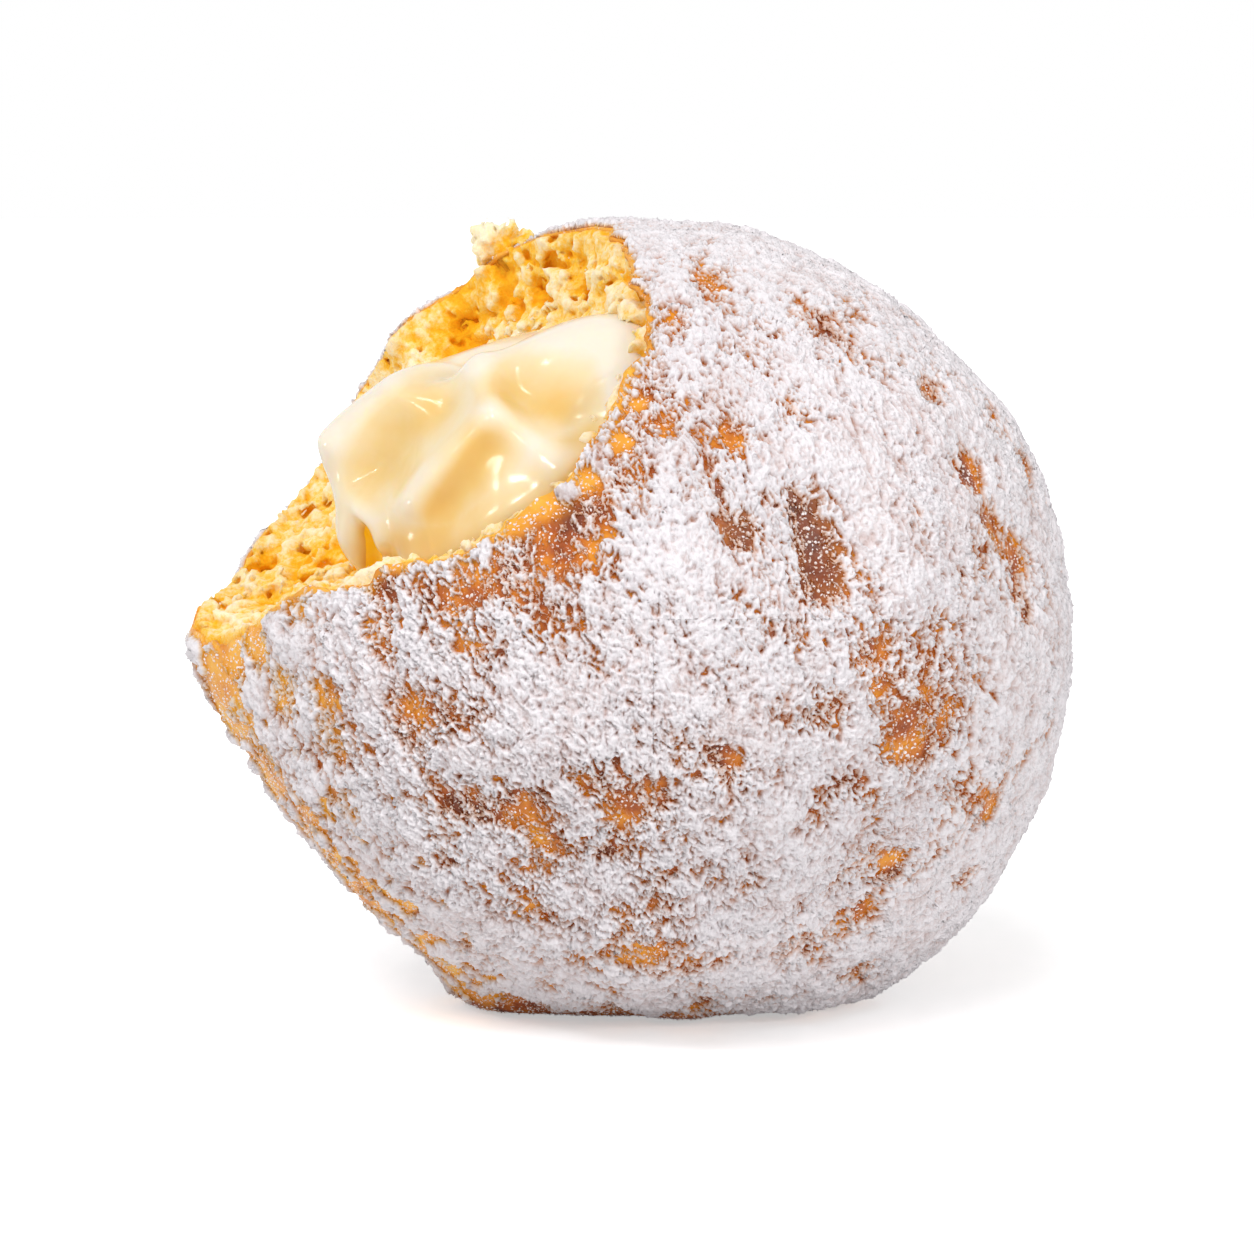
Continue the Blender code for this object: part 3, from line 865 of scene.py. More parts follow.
scale = node(
    scatter, "FunctionNodeRandomValue", {0: low, 1: (1.5, 1.5, 1.5), "Seed": sizes["Seed"]},
    data_type="FLOAT_VECTOR",
)  # fmt: skip
turn = node(
    scatter, "FunctionNodeRandomValue", {0: (0, 0, 0), 1: (6.3, 6.3, 6.3), "Seed": 9},
    data_type="FLOAT_VECTOR",
)  # fmt: skip
grains = node(
    scatter, "GeometryNodeInstanceOnPoints",
    {"Points": spots, "Instance": lump, "Scale": scale, "Rotation": turn},
)  # fmt: skip
grains = node(scatter, "GeometryNodeRealizeInstances", {"Geometry": grains})
grains = node(scatter, "GeometryNodeSetMaterial", {"Geometry": grains, "Material": sizes["Material"]})
scatter.links.new(grains, result["Geometry"])

# %% [markdown]
# ## The scattered clumps as a piece
#
# A clump is nearly as white as the coat, with faint warm spots. The tree runs on a copy of
# the crust, and what comes out of it is the clumps alone.

# %% Loose icing sugar
clump, tree, shader = new_material("loose_icing_sugar")
in_mm = place_in_mm(tree)
spread = node(tree, "ShaderNodeTexNoise", {"Vector": in_mm, "Scale": 1 / 0.6, "Detail": 2.0})
tint = node(tree, "ShaderNodeValToRGB", (spread,), stops=[(0.35, "#E3CDBE"), (0.6, "#F6F1F2")])
tree.links.new(tint, shader.inputs["Base Color"])
shader.inputs["Roughness"].default_value = 0.95
loose = new_piece(crust_mesh.copy())
loose.data.name = loose.name = "loose_sugar"
loose.data.materials.clear()
run_tree(loose, scatter, {**GRAIN_SIZES, "Material": clump})
on_body(loose, "dough")

# %% [markdown]
# ## The crumb
#
# Inside, yeast has blown the dough into a sponge. Where it is bitten, its bubbles are torn
# open: small pale lumps stand up, and deep golden pits lie between them, with overhangs
# that a pushed-in surface can't have. So the crumb is made as a volume. A Geometry Nodes
# tree fills the layer under the bitten face, takes bubbles of two sizes out of it, and
# turns what is left into a mesh.

# %% The bitten face as a fine sheet, with its larger pits
SHEET_STEP = 0.5
SHEET_HALF = 32.0
NEAR_SIDE, NEAR_SPREAD = 285, 52  # degrees round the bite, where custard runs over the edge
RIM_RISE, CUSTARD_DROP, RISE_WIDTH = 1.2, 6.0, 1.8  # in mm, how the face changes by the rim
CRUMB_PITS = (
    (7.8, 17.0, 2.0, 1.8), (10.0, 18.2, 1.3, 0.9), (13.3, 14.0, 1.3, 1.8), (14.6, 9.5, 1.2, 2.0),
    (18.2, 4.9, 1.1, 1.4), (17.1, 12.7, 1.0, 1.4), (14.6, 15.4, 1.5, 2.2), (-19.8, 17.7, 1.2, 1.6),
    (-21.6, 9.7, 1.3, 1.6), (-18.5, 9.9, 1.0, 1.4), (-17.5, 13.5, 1.2, 1.6), (-15.2, 10.4, 1.5, 2.2),
)  # fmt: skip  (along, across, radius, depth)
side = np.arange(-SHEET_HALF, SHEET_HALF + 0.01, SHEET_STEP)
sheet_a, sheet_b = np.meshgrid(side, side, indexing="ij")
sheet_reach = np.hypot(sheet_a, sheet_b)
sheet_round = np.arctan2(sheet_b, sheet_a) % (2 * np.pi)
spoke = sheet_round / (2 * np.pi) * SPOKES
spoke_low = np.floor(spoke).astype(int) % SPOKES
spoke_part = spoke - np.floor(spoke)
step = np.minimum(sheet_reach / SPOKE_STEP, len(spoke_places) - 1.001)
step_low = step.astype(int)
step_part = step - step_low


def on_spokes(table):
    """A table over the spokes, read at every point of the sheet."""
    low = table[spoke_low, step_low] * (1 - step_part) + table[spoke_low, step_low + 1] * step_part
    high_spoke = (spoke_low + 1) % SPOKES
    high = table[high_spoke, step_low] * (1 - step_part) + table[high_spoke, step_low + 1] * step_part
    return low * (1 - spoke_part) + high * spoke_part


sheet_z = on_spokes(sheet_height)
for _ in range(3):
    padded_z = np.pad(sheet_z, 1, mode="edge")
    around = padded_z[:-2, 1:-1] + padded_z[2:, 1:-1] + padded_z[1:-1, :-2] + padded_z[1:-1, 2:]
    sheet_z = 0.5 * sheet_z + 0.125 * around
for a, b, size, depth in CRUMB_PITS:
    sheet_z -= depth * np.exp(-(((sheet_a - a) ** 2 + (sheet_b - b) ** 2) / size**2))
rim_there = np.interp(sheet_round, spoke_angles, rim_reach)
by_custard = np.exp(-(((np.degrees(sheet_round) - NEAR_SIDE) / NEAR_SPREAD) ** 2))
rim_rise = np.exp(-(((sheet_reach - rim_there) / RISE_WIDTH) ** 2))
sheet_z += (RIM_RISE - CUSTARD_DROP * by_custard) * rim_rise
sheet_grid = np.stack([sheet_a, sheet_b, sheet_z], -1).reshape(-1, 3)
number = np.arange(len(side) ** 2).reshape(len(side), len(side))
sheet_quads = np.stack([number[:-1, :-1], number[1:, :-1], number[1:, 1:], number[:-1, 1:]], -1)
print("bitten face", sheet_a.shape, "heights %.1f to %.1f mm" % (sheet_z.min(), sheet_z.max()))

# %% [markdown]
# ## Filling the crumb and blowing its bubbles
#
# The tree asks one question in every small cell of a block: is there dough here? It works
# out how far the cell is under the bitten face, inside the crust and outside the nearest
# bubble, all in millimetres. The least of these is above nought only in dough, so the
# crumb's surface is drawn where it passes through nought.

# %% The tree that fills the crumb and blows its bubbles
CRUMB_SIZES = {
    "Depth": 3.9, "Skin": 0.55, "Rise": 0.3, "Wave size": 3.0, "Wave height": 2.0,
    "Lump size": 1.5, "Lump height": 1.35, "Small lump size": 0.65, "Small lump height": 0.6,
    "Big bubble spacing": 2.4, "Big bubble radius": 0.7, "Small bubble spacing": 1.2,
    "Small bubble radius": 0.35, "Ball radius": 1.7,
}  # fmt: skip
CRUMB_LOW, CRUMB_HIGH = (-31.0, -30.0, 14.5), (29.0, 31.0, 33.6)  # the block that holds it
CRUMB_VOXEL = 0.31
CUSTARD_MIDDLE = (1.2, -5.0)
CUSTARD_HALF = (13.0, 14.6)  # where the crumb is wholly under the custard
HIGH_ABOVE = 80.0  # rays start up there and look down on the bite
PLUG_DEPTH = 1.9  # no bubble goes deeper than this under the bitten face

crumb_tree = bpy.data.node_groups.new("torn_crumb", "GeometryNodeTree")
helpers = {"Bitten face": None, "Crust": None, "Torn balls": None}
sizes, result = tree_inputs(crumb_tree, **CRUMB_SIZES, **helpers, Material=None)
bitten, whole_crust, torn_balls = (
    node(crumb_tree, "GeometryNodeObjectInfo", {"Object": sizes[name]}, out="Geometry")
    for name in helpers
)
place = node(crumb_tree, "GeometryNodeInputPosition")
along, across, out = node(crumb_tree, "ShaderNodeSeparateXYZ", (place,)).node.outputs
over = node(crumb_tree, "ShaderNodeCombineXYZ", (along, across, HIGH_ABOVE))
down_hit = node(
    crumb_tree, "GeometryNodeRaycast",
    {"Target Geometry": bitten, "Source Position": over, "Ray Direction": (0, 0, -1),
     "Ray Length": 120.0},
    out="Hit Distance",
)  # fmt: skip
face_height = node(crumb_tree, MATH, (HIGH_ABOVE, down_hit), operation="SUBTRACT")
under_face = node(crumb_tree, MATH, (face_height, out), operation="SUBTRACT")
outwards = node(crumb_tree, VECTOR, (place,), operation="NORMALIZE")
far = node(crumb_tree, VECTOR, (place,), operation="LENGTH", out="Value")
centre = node(crumb_tree, "ShaderNodeCombineXYZ")  # linked, as an unlinked source is the place
crust_hit = node(
    crumb_tree, "GeometryNodeRaycast",
    {"Target Geometry": whole_crust, "Source Position": centre, "Ray Direction": outwards,
     "Ray Length": 60.0},
    out="Hit Distance",
)  # fmt: skip
in_crust = node(crumb_tree, MATH, (crust_hit, far), operation="SUBTRACT")
in_skin = node(crumb_tree, MATH, (in_crust, sizes["Skin"]), operation="SUBTRACT")


def bent_cells(size, wave, bend, shift):
    """Distance to the middle of the nearest cell of that size, as a share of the size."""
    bent = node(crumb_tree, "ShaderNodeTexNoise", {"Vector": place, "Scale": wave}, out="Color")
    bent = node(crumb_tree, VECTOR, {0: bent, "Scale": bend}, operation="SCALE")
    bent = node(crumb_tree, VECTOR, (place, bent), operation="ADD")
    bent = node(crumb_tree, VECTOR, (bent, shift), operation="ADD")
    per_mm = node(crumb_tree, MATH, (1.0, size), operation="DIVIDE")
    cell_in = {"Vector": bent, "Scale": per_mm}
    return node(crumb_tree, "ShaderNodeTexVoronoi", cell_in, out="Distance")


def crumb_lumps(name, seed):
    """Round lumps with creases between them: high in the middles of cells."""
    cell = bent_cells(sizes[name + " size"], 0.8, 1.4, (0, seed, seed))
    lump = node(crumb_tree, MATH, (0.42, cell), operation="SUBTRACT")
    return node(crumb_tree, MATH, (lump, sizes[name + " height"]), operation="MULTIPLY")


def bubbles(name, seed):
    """Distance to the wall of the nearest bubble, in mm: below nought inside one."""
    spacing = sizes[name + " spacing"]
    cell = bent_cells(spacing, 0.6, 2.0, (seed, seed, 0))
    luck = node(crumb_tree, "ShaderNodeSeparateXYZ", (cell.node.outputs["Color"],))
    luck = node(crumb_tree, MATH, (luck, 2.2), operation="MULTIPLY")
    luck = node(crumb_tree, MATH, (luck, 0.5), operation="SUBTRACT")
    size = node(crumb_tree, MATH, (sizes[name + " radius"], luck), operation="MULTIPLY")
    cell_mm = node(crumb_tree, MATH, (cell, spacing), operation="MULTIPLY")
    return node(crumb_tree, MATH, (cell_mm, size), operation="SUBTRACT")


shifted = node(crumb_tree, VECTOR, (place, (11.0, 0, 0)), operation="ADD")
per_mm = node(crumb_tree, MATH, (1.0, sizes["Wave size"]), operation="DIVIDE")
wave_in = {"Vector": shifted, "Scale": per_mm, "Detail": 2.0}
waves = node(crumb_tree, "ShaderNodeTexNoise", wave_in)
waves = node(crumb_tree, MATH, (waves, 0.5), operation="SUBTRACT")
waves = node(crumb_tree, MATH, (waves, sizes["Wave height"]), operation="MULTIPLY")
large, little = crumb_lumps("Lump", 7.0), crumb_lumps("Small lump", 19.0)
lumps = node(crumb_tree, MATH, (large, little), operation="ADD")
relief_sum = node(crumb_tree, MATH, (waves, lumps), operation="ADD")
top = node(crumb_tree, MATH, (under_face, 0.85), operation="MULTIPLY")
top = node(crumb_tree, MATH, (top, relief_sum), operation="ADD")
top = node(crumb_tree, MATH, (top, sizes["Rise"]), operation="ADD")
ball = node(
    crumb_tree, "GeometryNodeProximity", {"Geometry": torn_balls, "Sample Position": place},
    out="Distance", target_element="POINTS",
)  # fmt: skip
in_ball = node(crumb_tree, MATH, (sizes["Ball radius"], ball), operation="SUBTRACT")
in_ball = node(crumb_tree, MATH, (in_ball, lumps), operation="ADD")
big, small = bubbles("Big bubble", 3.0), bubbles("Small bubble", 29.0)
walls = node(crumb_tree, MATH, (big, small, 0.15), operation="SMOOTH_MIN")
floor_layer = node(crumb_tree, MATH, (sizes["Depth"], under_face), operation="SUBTRACT")
plug = node(crumb_tree, MATH, (under_face, PLUG_DEPTH), operation="SUBTRACT")
plug = node(crumb_tree, MATH, (plug, in_skin), operation="MINIMUM")
squares = []
for spot, middle, half in zip((along, across), CUSTARD_MIDDLE, CUSTARD_HALF):
    part = node(crumb_tree, MATH, (spot, middle), operation="SUBTRACT")
    part = node(crumb_tree, MATH, (part, half), operation="DIVIDE")
    squares.append(node(crumb_tree, MATH, (part, 2.0), operation="POWER"))
oval = node(crumb_tree, MATH, squares, operation="ADD")
oval = node(crumb_tree, MATH, (oval,), operation="SQRT")
beside = node(crumb_tree, MATH, (oval, 1.0), operation="SUBTRACT")
beside = node(crumb_tree, MATH, (beside, min(CUSTARD_HALF)), operation="MULTIPLY")
solid = top
for other, which in (
    (in_skin, "MINIMUM"), (in_ball, "MAXIMUM"), (walls, "MINIMUM"), (plug, "MAXIMUM"),
    (floor_layer, "MINIMUM"), (beside, "MINIMUM"),
):  # fmt: skip
    solid = node(crumb_tree, MATH, (solid, other), operation=which)
density_in = {"Value": solid, "From Min": -0.6, "From Max": 0.6}
density = node(crumb_tree, "ShaderNodeMapRange", density_in)
counts = [int((high - low) / CRUMB_VOXEL) for low, high in zip(CRUMB_LOW, CRUMB_HIGH)]
block = node(
    crumb_tree, "GeometryNodeVolumeCube",
    {"Density": density, "Background": 0.0, "Min": CRUMB_LOW, "Max": CRUMB_HIGH,
     "Resolution X": counts[0], "Resolution Y": counts[1], "Resolution Z": counts[2]},
)  # fmt: skip
block_in = {"Volume": block, "Threshold": 0.5, "Adaptivity": 0.02}
block = node(crumb_tree, "GeometryNodeVolumeToMesh", block_in)
for name, value in (("under_face", under_face), ("relief", relief_sum), ("in_crust", in_crust)):
    block = node(
        crumb_tree, "GeometryNodeStoreNamedAttribute",
        {"Geometry": block, "Name": name, "Value": value}, data_type="FLOAT", domain="POINT",
    )  # fmt: skip
block = node(crumb_tree, "GeometryNodeSetShadeSmooth", {"Geometry": block})
block = node(crumb_tree, "GeometryNodeRealizeInstances", {"Geometry": block})
material_in = {"Geometry": block, "Material": sizes["Material"]}
block = node(crumb_tree, "GeometryNodeSetMaterial", material_in)
crumb_tree.links.new(block, result["Geometry"])
print("crumb tree has", len(crumb_tree.nodes), "nodes, and fills", counts, "voxels")

# %% [markdown]
# ## The crumb's finish
#
# Egg and butter make the crumb yellow. Its raised lumps are pale and matt. Light that gets
# into the pits is passed from wall to wall, and each time it turns a deeper gold; that gold
# is painted here, deeper the lower a place lies, so the pits are the most strongly coloured
# places on the whole doughnut. A faint painted glow of the crumb's own colour lifts it all.

# %% Yeast crumb
yeast, tree, shader = new_material("yeast_dough_crumb")
in_mm = place_in_mm(tree)
under = node(tree, "ShaderNodeAttribute", attribute_name="under_face", out="Fac")
in_crust = node(tree, "ShaderNodeAttribute", attribute_name="in_crust", out="Fac")
raised = node(tree, "ShaderNodeAttribute", attribute_name="relief", out="Fac")
outside = node(tree, MATH, (in_crust, 0.4, 0.5), operation="MULTIPLY_ADD")
under = node(tree, MATH, (under, outside), operation="MINIMUM")
# painted light: the lower a place lies under the bitten face and between the lumps, and in the listed large
# pits, the deeper its gold
pit = node(tree, MATH, (raised, -0.9, under), operation="MULTIPLY_ADD")
well = node(tree, "ShaderNodeAttribute", attribute_name="well", out="Fac")
pit = node(tree, MATH, (well, 2.4, pit), operation="MULTIPLY_ADD")
foam = node(tree, "ShaderNodeTexNoise", {"Vector": in_mm, "Scale": 1 / 0.5, "Detail": 5.0, "Roughness": 0.65})
foam_pit = node(tree, MATH, (foam, -4.5, 2.25), operation="MULTIPLY_ADD")
pit = node(tree, MATH, (pit, foam_pit), operation="ADD")
pit = node(tree, "ShaderNodeMapRange", {"Value": pit, "From Min": -2.6, "From Max": 3.2})
golds = [
    (0.28, "#FFECC8"), (0.42, "#FEDEA0"), (0.54, "#FDCC5E"), (0.66, "#FBB816"), (0.85, "#F5A800"),
]  # fmt: skip
gold = node(tree, "ShaderNodeValToRGB", (pit,), stops=golds)
near = node(tree, "ShaderNodeMapRange", {"Value": in_crust, "From Min": 0.0, "From Max": 1.6})
greys = [(0.0, "#000000"), (0.2, "#A8A8A8"), (0.5, "#606060"), (1.0, "#000000")]
near_crust = node(tree, "ShaderNodeValToRGB", (near,), stops=greys)
gold = node(tree, MIX, {0: near_crust, 6: gold, 7: colour("#D9851A")}, out=2, data_type="RGBA")
bump = node(tree, "ShaderNodeBump", {"Height": foam, "Strength": 0.8, "Distance": 0.5 * MM}, out="Normal")
tree.links.new(gold, shader.inputs["Base Color"])
tree.links.new(gold, shader.inputs["Emission Color"])  # painted glow: the crumb gives off a little light in its own colour, in place of light that soaks through it
tree.links.new(bump, shader.inputs["Normal"])
shader.inputs["Roughness"].default_value = 0.7
shader.inputs["Subsurface Weight"].default_value = 0.35
shader.inputs["Subsurface Radius"].default_value = (1.5 * MM, 1.2 * MM, 0.4 * MM)
shader.inputs["Emission Strength"].default_value = 0.11
shader.inputs["Subsurface Scale"].default_value = 1.0

# %% [markdown]
# ## The crumb as a piece
#
# The tree reads three helpers: the bitten face, the whole bun's surface and the middles of
# the torn lump's balls. They are made in millimetres and in the bite's own axes, and are
# deleted once the tree has run. Then the crumb is turned into the frame's metres.

# %% The helpers, and the crumb
ball_rings = np.arange(TABLE_ROWS * TABLE_COLS).reshape(TABLE_ROWS, TABLE_COLS)
whole_ball = (way_table * crust_table[..., None]).reshape(-1, 3) @ AXES.T
sheet_helper = new_piece(new_mesh("sheet_helper", sheet_grid / MM, sheet_quads))
crust_helper = new_piece(new_mesh("crust_helper", whole_ball / MM, ring_quads(ball_rings)))
ball_mesh = bpy.data.meshes.new("ball_helper")
ball_mesh.from_pydata(TORN_BALLS, [], [])
ball_helper = new_piece(ball_mesh)
crumb = new_piece(bpy.data.meshes.new("crumb"))
helpers = {"Bitten face": sheet_helper, "Crust": crust_helper, "Torn balls": ball_helper}
run_tree(crumb, crumb_tree, {**CRUMB_SIZES, **helpers, "Material": yeast})
for spare in (sheet_helper, crust_helper, ball_helper):
    bpy.data.objects.remove(spare)
spots = np.zeros(len(crumb.data.vertices) * 3)
crumb.data.vertices.foreach_get("co", spots)
spots = spots.reshape(-1, 3)
well = sum(
    min(depth / 2.0, 1.0) * np.exp(-((spots[:, 0] - a) ** 2 + (spots[:, 1] - b) ** 2) / size**2)
    for a, b, size, depth in CRUMB_PITS
)
keep_values(crumb.data, well=np.clip(well, 0, 1))
turn = Matrix(AXES.T.tolist()).to_4x4()
crumb.data.transform(Matrix.Diagonal((MM, MM, MM, 1)) @ Matrix.Translation(BUN_CENTRE) @ turn)
on_body(crumb, "dough")

# %% [markdown]
# ## The custard
#
# Custard is pushed out by the bite and then stands by itself: a smooth glossy heap with
# soft folds, hollows and one drip. Its form is what light shows best, so each fold is
# given as a line on the view with a width and a height, and raised from the solid's shape
# on a very even ball of triangles, which has no poles to pinch.

# %% The custard's folds
CUSTARD_CENTRE = BUN_CENTRE + BITE_ALONG * 1.2 - BITE_ACROSS * 5.0 + BITE_OUT * 22.0
FOLDS = (  # (places (right, up) in mm, width, height)
    (((-28.0, 15.0), (-25.5, 18.6), (-22.8, 20.4), (-18.6, 21.8), (-14.1, 22.2), (-9.4, 23.1),
      (-5.0, 24.2)), 2.2, 0.5),
    (((-18.0, 18.2), (-21.0, 16.4), (-23.4, 13.2)), 2.9, -1.5),
    (((-26.6, 11.0), (-26.0, 13.6), (-24.4, 17.0), (-21.6, 19.4)), 1.1, 0.7),
    (((-11.2, 19.0), (-8.0, 17.6), (-6.2, 16.9)), 2.6, -1.7),
    (((-14.5, 21.0), (-12.8, 17.4), (-15.0, 15.2), (-17.5, 12.4), (-19.5, 10.0)), 1.5, 0.9),
    (((-12.8, 17.4), (-9.8, 14.9), (-7.5, 12.6)), 1.5, 0.8),
    (((-13.9, 14.0), (-16.6, 9.4)), 1.9, -0.7),
    (((-3.9, 18.5), (-4.9, 15.3), (-9.6, 10.3), (-15.8, 7.2)), 1.2, 0.5),
    (((-18.0, 12.3), (-21.0, 8.8)), 0.45, 0.22),
    (((-19.0, 12.7), (-22.0, 9.2)), 0.45, 0.22),
    (((-24.8, 10.0), (-22.7, 6.4)), 0.9, 1.0),
    (((-24.6, 7.0), (-24.1, 4.0)), 1.3, -1.4),
    (((-3.0, 20.5), (-3.2, 16.0), (-8.6, 10.0), (-15.5, 5.8), (-21.5, 4.4)), 1.3, 0.8),
    (((-2.4, 23.0), (-1.4, 20.0), (-1.6, 17.5), (-3.4, 14.5)), 1.5, 1.2),
    (((-28.2, 15.6), (-27.2, 15.2)), 0.8, 0.9),
)  # fmt: skip
SHADED_AND_THIN_PLACES = (  # (places, width, how much): a deeper gold, painted shade in the hollows and along the lower edge, where the custard is also thin; in the notch by the drip a painted bright yellow over its shade
    (((-4.2, 14.2), (-9.0, 9.6), (-15.5, 6.0), (-21.0, 5.4)), 2.6, 0.75),
    (((-19.0, 18.2), (-22.0, 15.8), (-23.6, 12.6)), 3.4, 0.45), (((-12.0, 19.2), (-7.0, 18.0)), 2.8, 0.5),
    (((-13.9, 14.0), (-17.5, 9.4)), 3.0, 0.6), (((-24.3, 6.9), (-23.9, 4.4)), 1.1, 1.6),
)  # fmt: skip
ball = bmesh.new()
bmesh.ops.create_icosphere(ball, subdivisions=7, radius=1)
custard_mesh = bpy.data.meshes.new("custard_filling")
ball.to_mesh(custard_mesh)
ball.free()
way = np.zeros(len(custard_mesh.vertices) * 3)
custard_mesh.vertices.foreach_get("co", way)
way = way.reshape(-1, 3)
reach = np.zeros(len(way))
for i, one in enumerate(way):
    hit = custard_tree.ray_cast(CUSTARD_CENTRE + Vector(one) * 60, -Vector(one))[0]
    reach[i] = (hit - CUSTARD_CENTRE).length
ends = np.zeros(len(custard_mesh.edges) * 2, np.int32)
custard_mesh.edges.foreach_get("vertices", ends)
ends = ends.reshape(-1, 2)
count = np.bincount(ends.ravel(), minlength=len(way))


def even_out(values, passes):
    """Averages each point's value with its neighbours' along the edges."""
    for _ in range(passes):
        total = np.bincount(ends[:, 0], values[ends[:, 1]], len(way))
        total += np.bincount(ends[:, 1], values[ends[:, 0]], len(way))
        values = 0.5 * values + 0.5 * total / count
    return values


reach = even_out(reach, 60)
spot = np.array(CUSTARD_CENTRE) + way * reach[:, None]
from_bun = spot - CENTRE
seen_right = from_bun @ np.array(VIEW_RIGHT)
seen_up = from_bun @ np.array(VIEW_UP)
facing = smoothstep(-0.1, 0.5, way @ np.array(VIEW_OUT) + 0.3 * (way @ np.array(BITE_OUT)))
rise = np.zeros(len(way))


def away_from_line(line):
    """Distance in the view from each point to a line through places."""
    nearest = np.full(len(way), 99.0)
    for (x0, y0), (x1, y1) in zip(line[:-1], line[1:]):
        dx, dy = x1 - x0, y1 - y0
        part = np.clip(((seen_right - x0) * dx + (seen_up - y0) * dy) / (dx * dx + dy * dy), 0, 1)
        nearest = np.minimum(nearest, np.hypot(seen_right - x0 - part * dx, seen_up - y0 - part * dy))
    return nearest


for line, width, lift in FOLDS:
    rise += lift * np.exp(-((away_from_line(line) / width) ** 2))
rise = even_out(rise * facing, 12)
spot = spot + way * rise[:, None]
custard_mesh.vertices.foreach_set("co", (spot * MM).ravel())
custard_mesh.shade_smooth()
custard_mesh.update()
warm = np.zeros(len(way))
for line, width, much in SHADED_AND_THIN_PLACES:
    warm = np.maximum(warm, much * np.exp(-((away_from_line(line) / width) ** 2)))
keep_values(custard_mesh, warm=warm - 0.4 * np.clip(rise, 0, 1))
print("custard reaches %.1f mm, folds from %.1f to %.1f mm" % (reach.max(), rise.min(), rise.max()))

# %% [markdown]
# ## The custard's finish
#
# Custard is milk, egg yolk and starch. Its skin is wet, so it has small sharp highlights,
# and light goes a few millimetres into it and comes out again warmer. That is what
# subsurface scattering does, and it also keeps the folds' shadows soft and yellow.

# %% Custard
cooked, tree, shader = new_material("custard_cream")
warm = node(tree, "ShaderNodeAttribute", attribute_name="warm", out="Fac")
in_mm = place_in_mm(tree)
cloud = node(tree, "ShaderNodeTexNoise", {"Vector": in_mm, "Scale": 1 / 4.0, "Detail": 3.0})
# Deeper gold where warm is high: painted shade in the hollows and along the lower edge, where the custard is
# also thin, and a painted bright yellow in the shaded notch by the drip; raised folds get less of it.
deep = node(tree, MATH, (cloud, 0.3, warm), operation="MULTIPLY_ADD")
creams = [
    (0.05, "#ECE2D0"), (0.35, "#EAD6AA"), (0.65, "#E4BE70"), (0.92, "#DDA642"), (1.0, "#FFC60C"),
]  # fmt: skip
cream = node(tree, "ShaderNodeValToRGB", (deep,), stops=creams)
skin = node(tree, "ShaderNodeTexNoise", {"Vector": in_mm, "Scale": 1 / 2.5, "Detail": 2.0})
bump = node(tree, "ShaderNodeBump", {"Height": skin, "Strength": 0.12, "Distance": 0.3 * MM}, out="Normal")
tree.links.new(cream, shader.inputs["Base Color"])
tree.links.new(bump, shader.inputs["Normal"])
shader.inputs["Roughness"].default_value = 0.16
shader.inputs["Subsurface Weight"].default_value = 0.5
shader.inputs["Subsurface Radius"].default_value = (2.6 * MM, 1.5 * MM, 0.6 * MM)
shader.inputs["Subsurface Scale"].default_value = 1.0
custard_mesh.materials.append(cooked)
custard = new_piece(custard_mesh)
on_body(custard, "custard", "custard")

# %% [markdown]
# ## The floor
#
# The doughnut stands on a wide sheet of pale paper. To the camera the paper glows a little,
# as on a light table, so it runs into the white world behind without a line.

# %% The floor
FLOOR_HALF = 3.0
paper, tree, shader = new_material("matt_paper")
place = node(tree, "ShaderNodeTexCoord", out="Object")
fibres = node(tree, "ShaderNodeTexNoise", {"Vector": place, "Scale": 400.0})
tint = node(tree, "ShaderNodeValToRGB", {0: fibres}, stops=[(0.4, "#FAFAFA"), (0.6, "#FFFFFF")])
tree.links.new(tint, shader.inputs["Base Color"])
shader.inputs["Roughness"].default_value = 0.9
shader.inputs["Emission Color"].default_value = colour("#FFFFFF")
seen = node(tree, "ShaderNodeLightPath", out="Is Camera Ray")
glow = node(tree, MATH, (seen, 0.45), operation="MULTIPLY")  # as on a light table
tree.links.new(glow, shader.inputs["Emission Strength"])
floor_mesh = bpy.data.meshes.new("floor")
corners = [(x * FLOOR_HALF, y * FLOOR_HALF, 0) for x, y in ((-1, -1), (1, -1), (1, 1), (-1, 1))]
floor_mesh.from_pydata(corners, [], [(0, 1, 2, 3)])
floor = new_piece(floor_mesh, paper)

# %% [markdown]
# ## The lights and the world
#
# A sun as broad as a window stands high in front, a little to the left, so its shadows are
# soft. Two round softboxes and three small spots are there for the custard to mirror. The
# world is white: bright for the camera and in mirrors, and dimmer as a light.

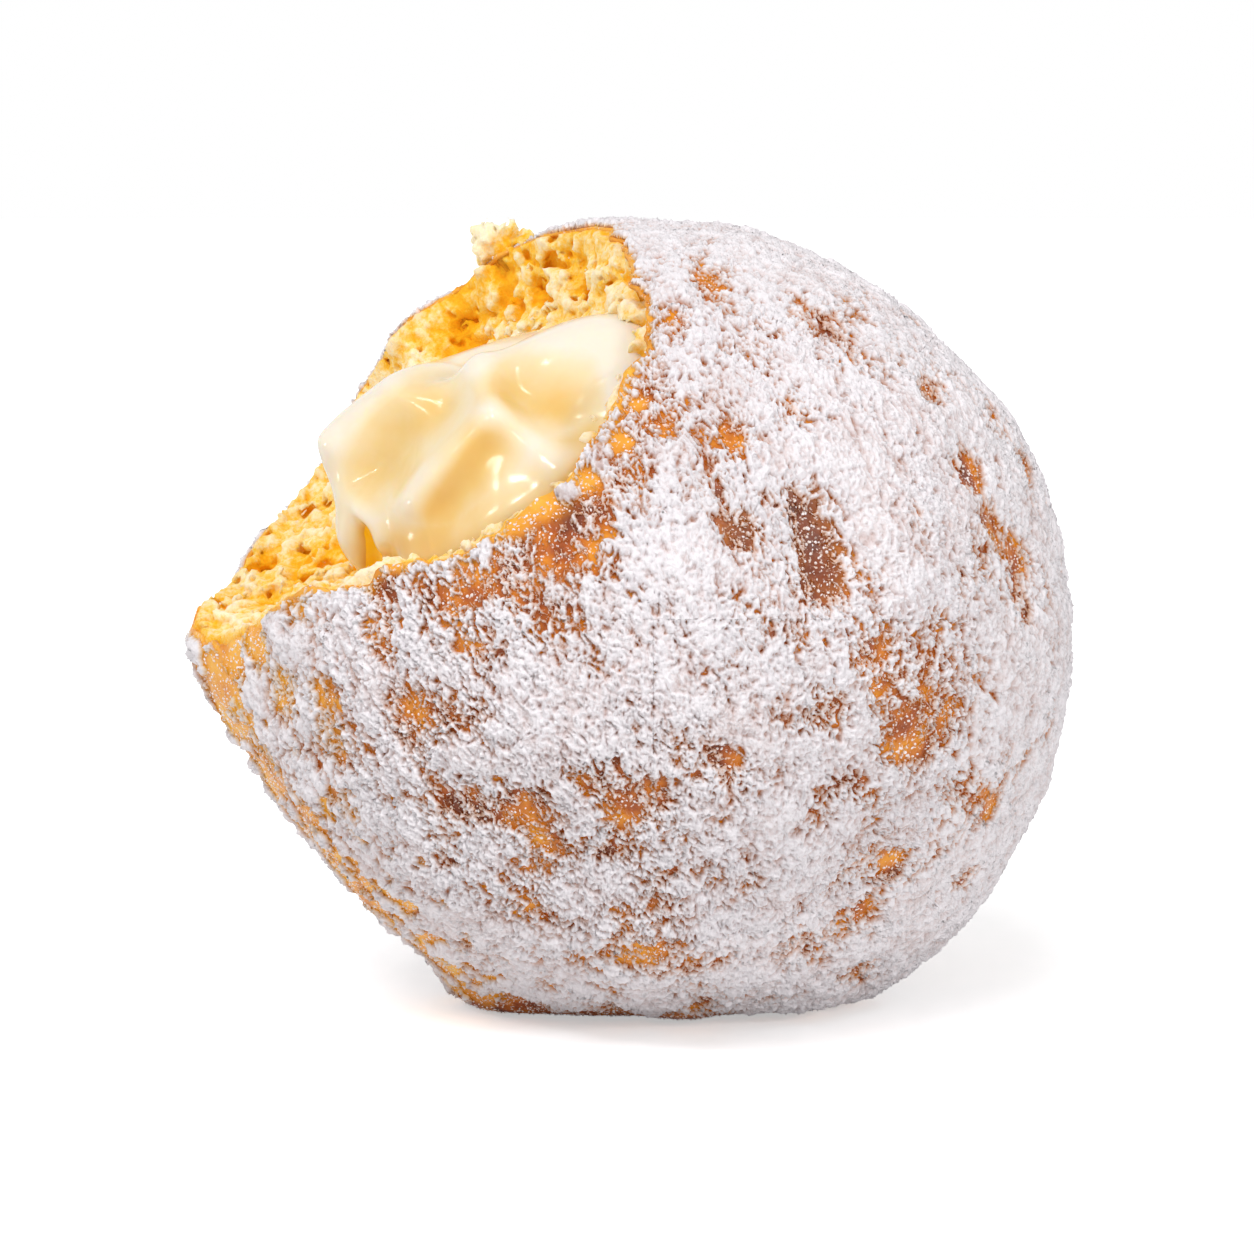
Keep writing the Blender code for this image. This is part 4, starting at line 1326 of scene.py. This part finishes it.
# %% The lights and the world
SUN_FROM = Vector((-0.22, -0.44, 0.86))
SUN_STRENGTH = 1.62
LIGHTS = (  # name, the way to it from the custard, how far, size in m, watts
    ("softbox_left", (-0.6, -0.5, 0.62), 0.8, 0.08, 0.6),
    ("softbox_right", (0.6, -0.72, 0.34), 0.8, 0.14, 1.8),
    ("spot_over_ridge", (-0.53, -0.07, 0.85), 0.6, 0.06, 0.15),
    ("spot_left", (-0.81, -0.29, 0.51), 0.6, 0.05, 0.15),
    ("spot_low_left", (-0.97, 0.23, -0.02), 0.5, 0.04, 0.06),
)


def add_light(name, kind, place, **settings):
    """A light at that place, turned towards the custard."""
    lamp = bpy.data.lights.new(name, kind)
    for key, value in settings.items():
        setattr(lamp, key, value)
    light = bpy.data.objects.new(name, lamp)
    light.location = place
    light.rotation_euler = (CUSTARD_CENTRE * MM - place).to_track_quat("-Z", "Y").to_euler()
    light.visible_glossy = kind != "SUN"  # so broad a sun would mirror as a hard-edged patch
    bpy.context.scene.collection.objects.link(light)


add_light("sun", "SUN", SUN_FROM, energy=SUN_STRENGTH, angle=math.radians(35))
for name, way, far, size, watts in LIGHTS:
    place = CUSTARD_CENTRE * MM + Vector(way).normalized() * far
    add_light(name, "AREA", place, shape="DISK", size=size, energy=watts)
world = bpy.data.worlds.new("studio")
world.use_nodes = True
tree, background = world.node_tree, world.node_tree.nodes["Background"]
seen = node(tree, "ShaderNodeLightPath", out="Is Camera Ray")
seen = node(tree, MATH, (seen, seen.node.outputs["Is Glossy Ray"]), operation="MAXIMUM")
strength = node(tree, "ShaderNodeMapRange", {"Value": seen, "To Min": 0.38, "To Max": 1.0})
background.inputs["Color"].default_value = colour("#FFFFFF")
tree.links.new(strength, background.inputs["Strength"])
bpy.context.scene.world = world
bpy.context.scene.view_settings.view_transform = "Standard"

# %% [markdown]
# ## The camera
#
# The camera looks along the view that the marks were placed on, eight degrees down. It has
# a long lens, which draws a round thing without swelling its middle.

# %% The camera
CAMERA_FAR = 0.3135  # in m, as is the place that it looks at
CAMERA_AIM = Vector((0.00012, 0, 0.03336))
lens = bpy.data.cameras.new("camera")
lens.lens, lens.sensor_width = 100, 36
camera = bpy.data.objects.new("camera", lens)
camera.location = CAMERA_AIM + VIEW_OUT * CAMERA_FAR
camera.rotation_euler = (-VIEW_OUT).to_track_quat("-Z", "Y").to_euler()
bpy.context.scene.collection.objects.link(camera)
bpy.context.scene.camera = camera
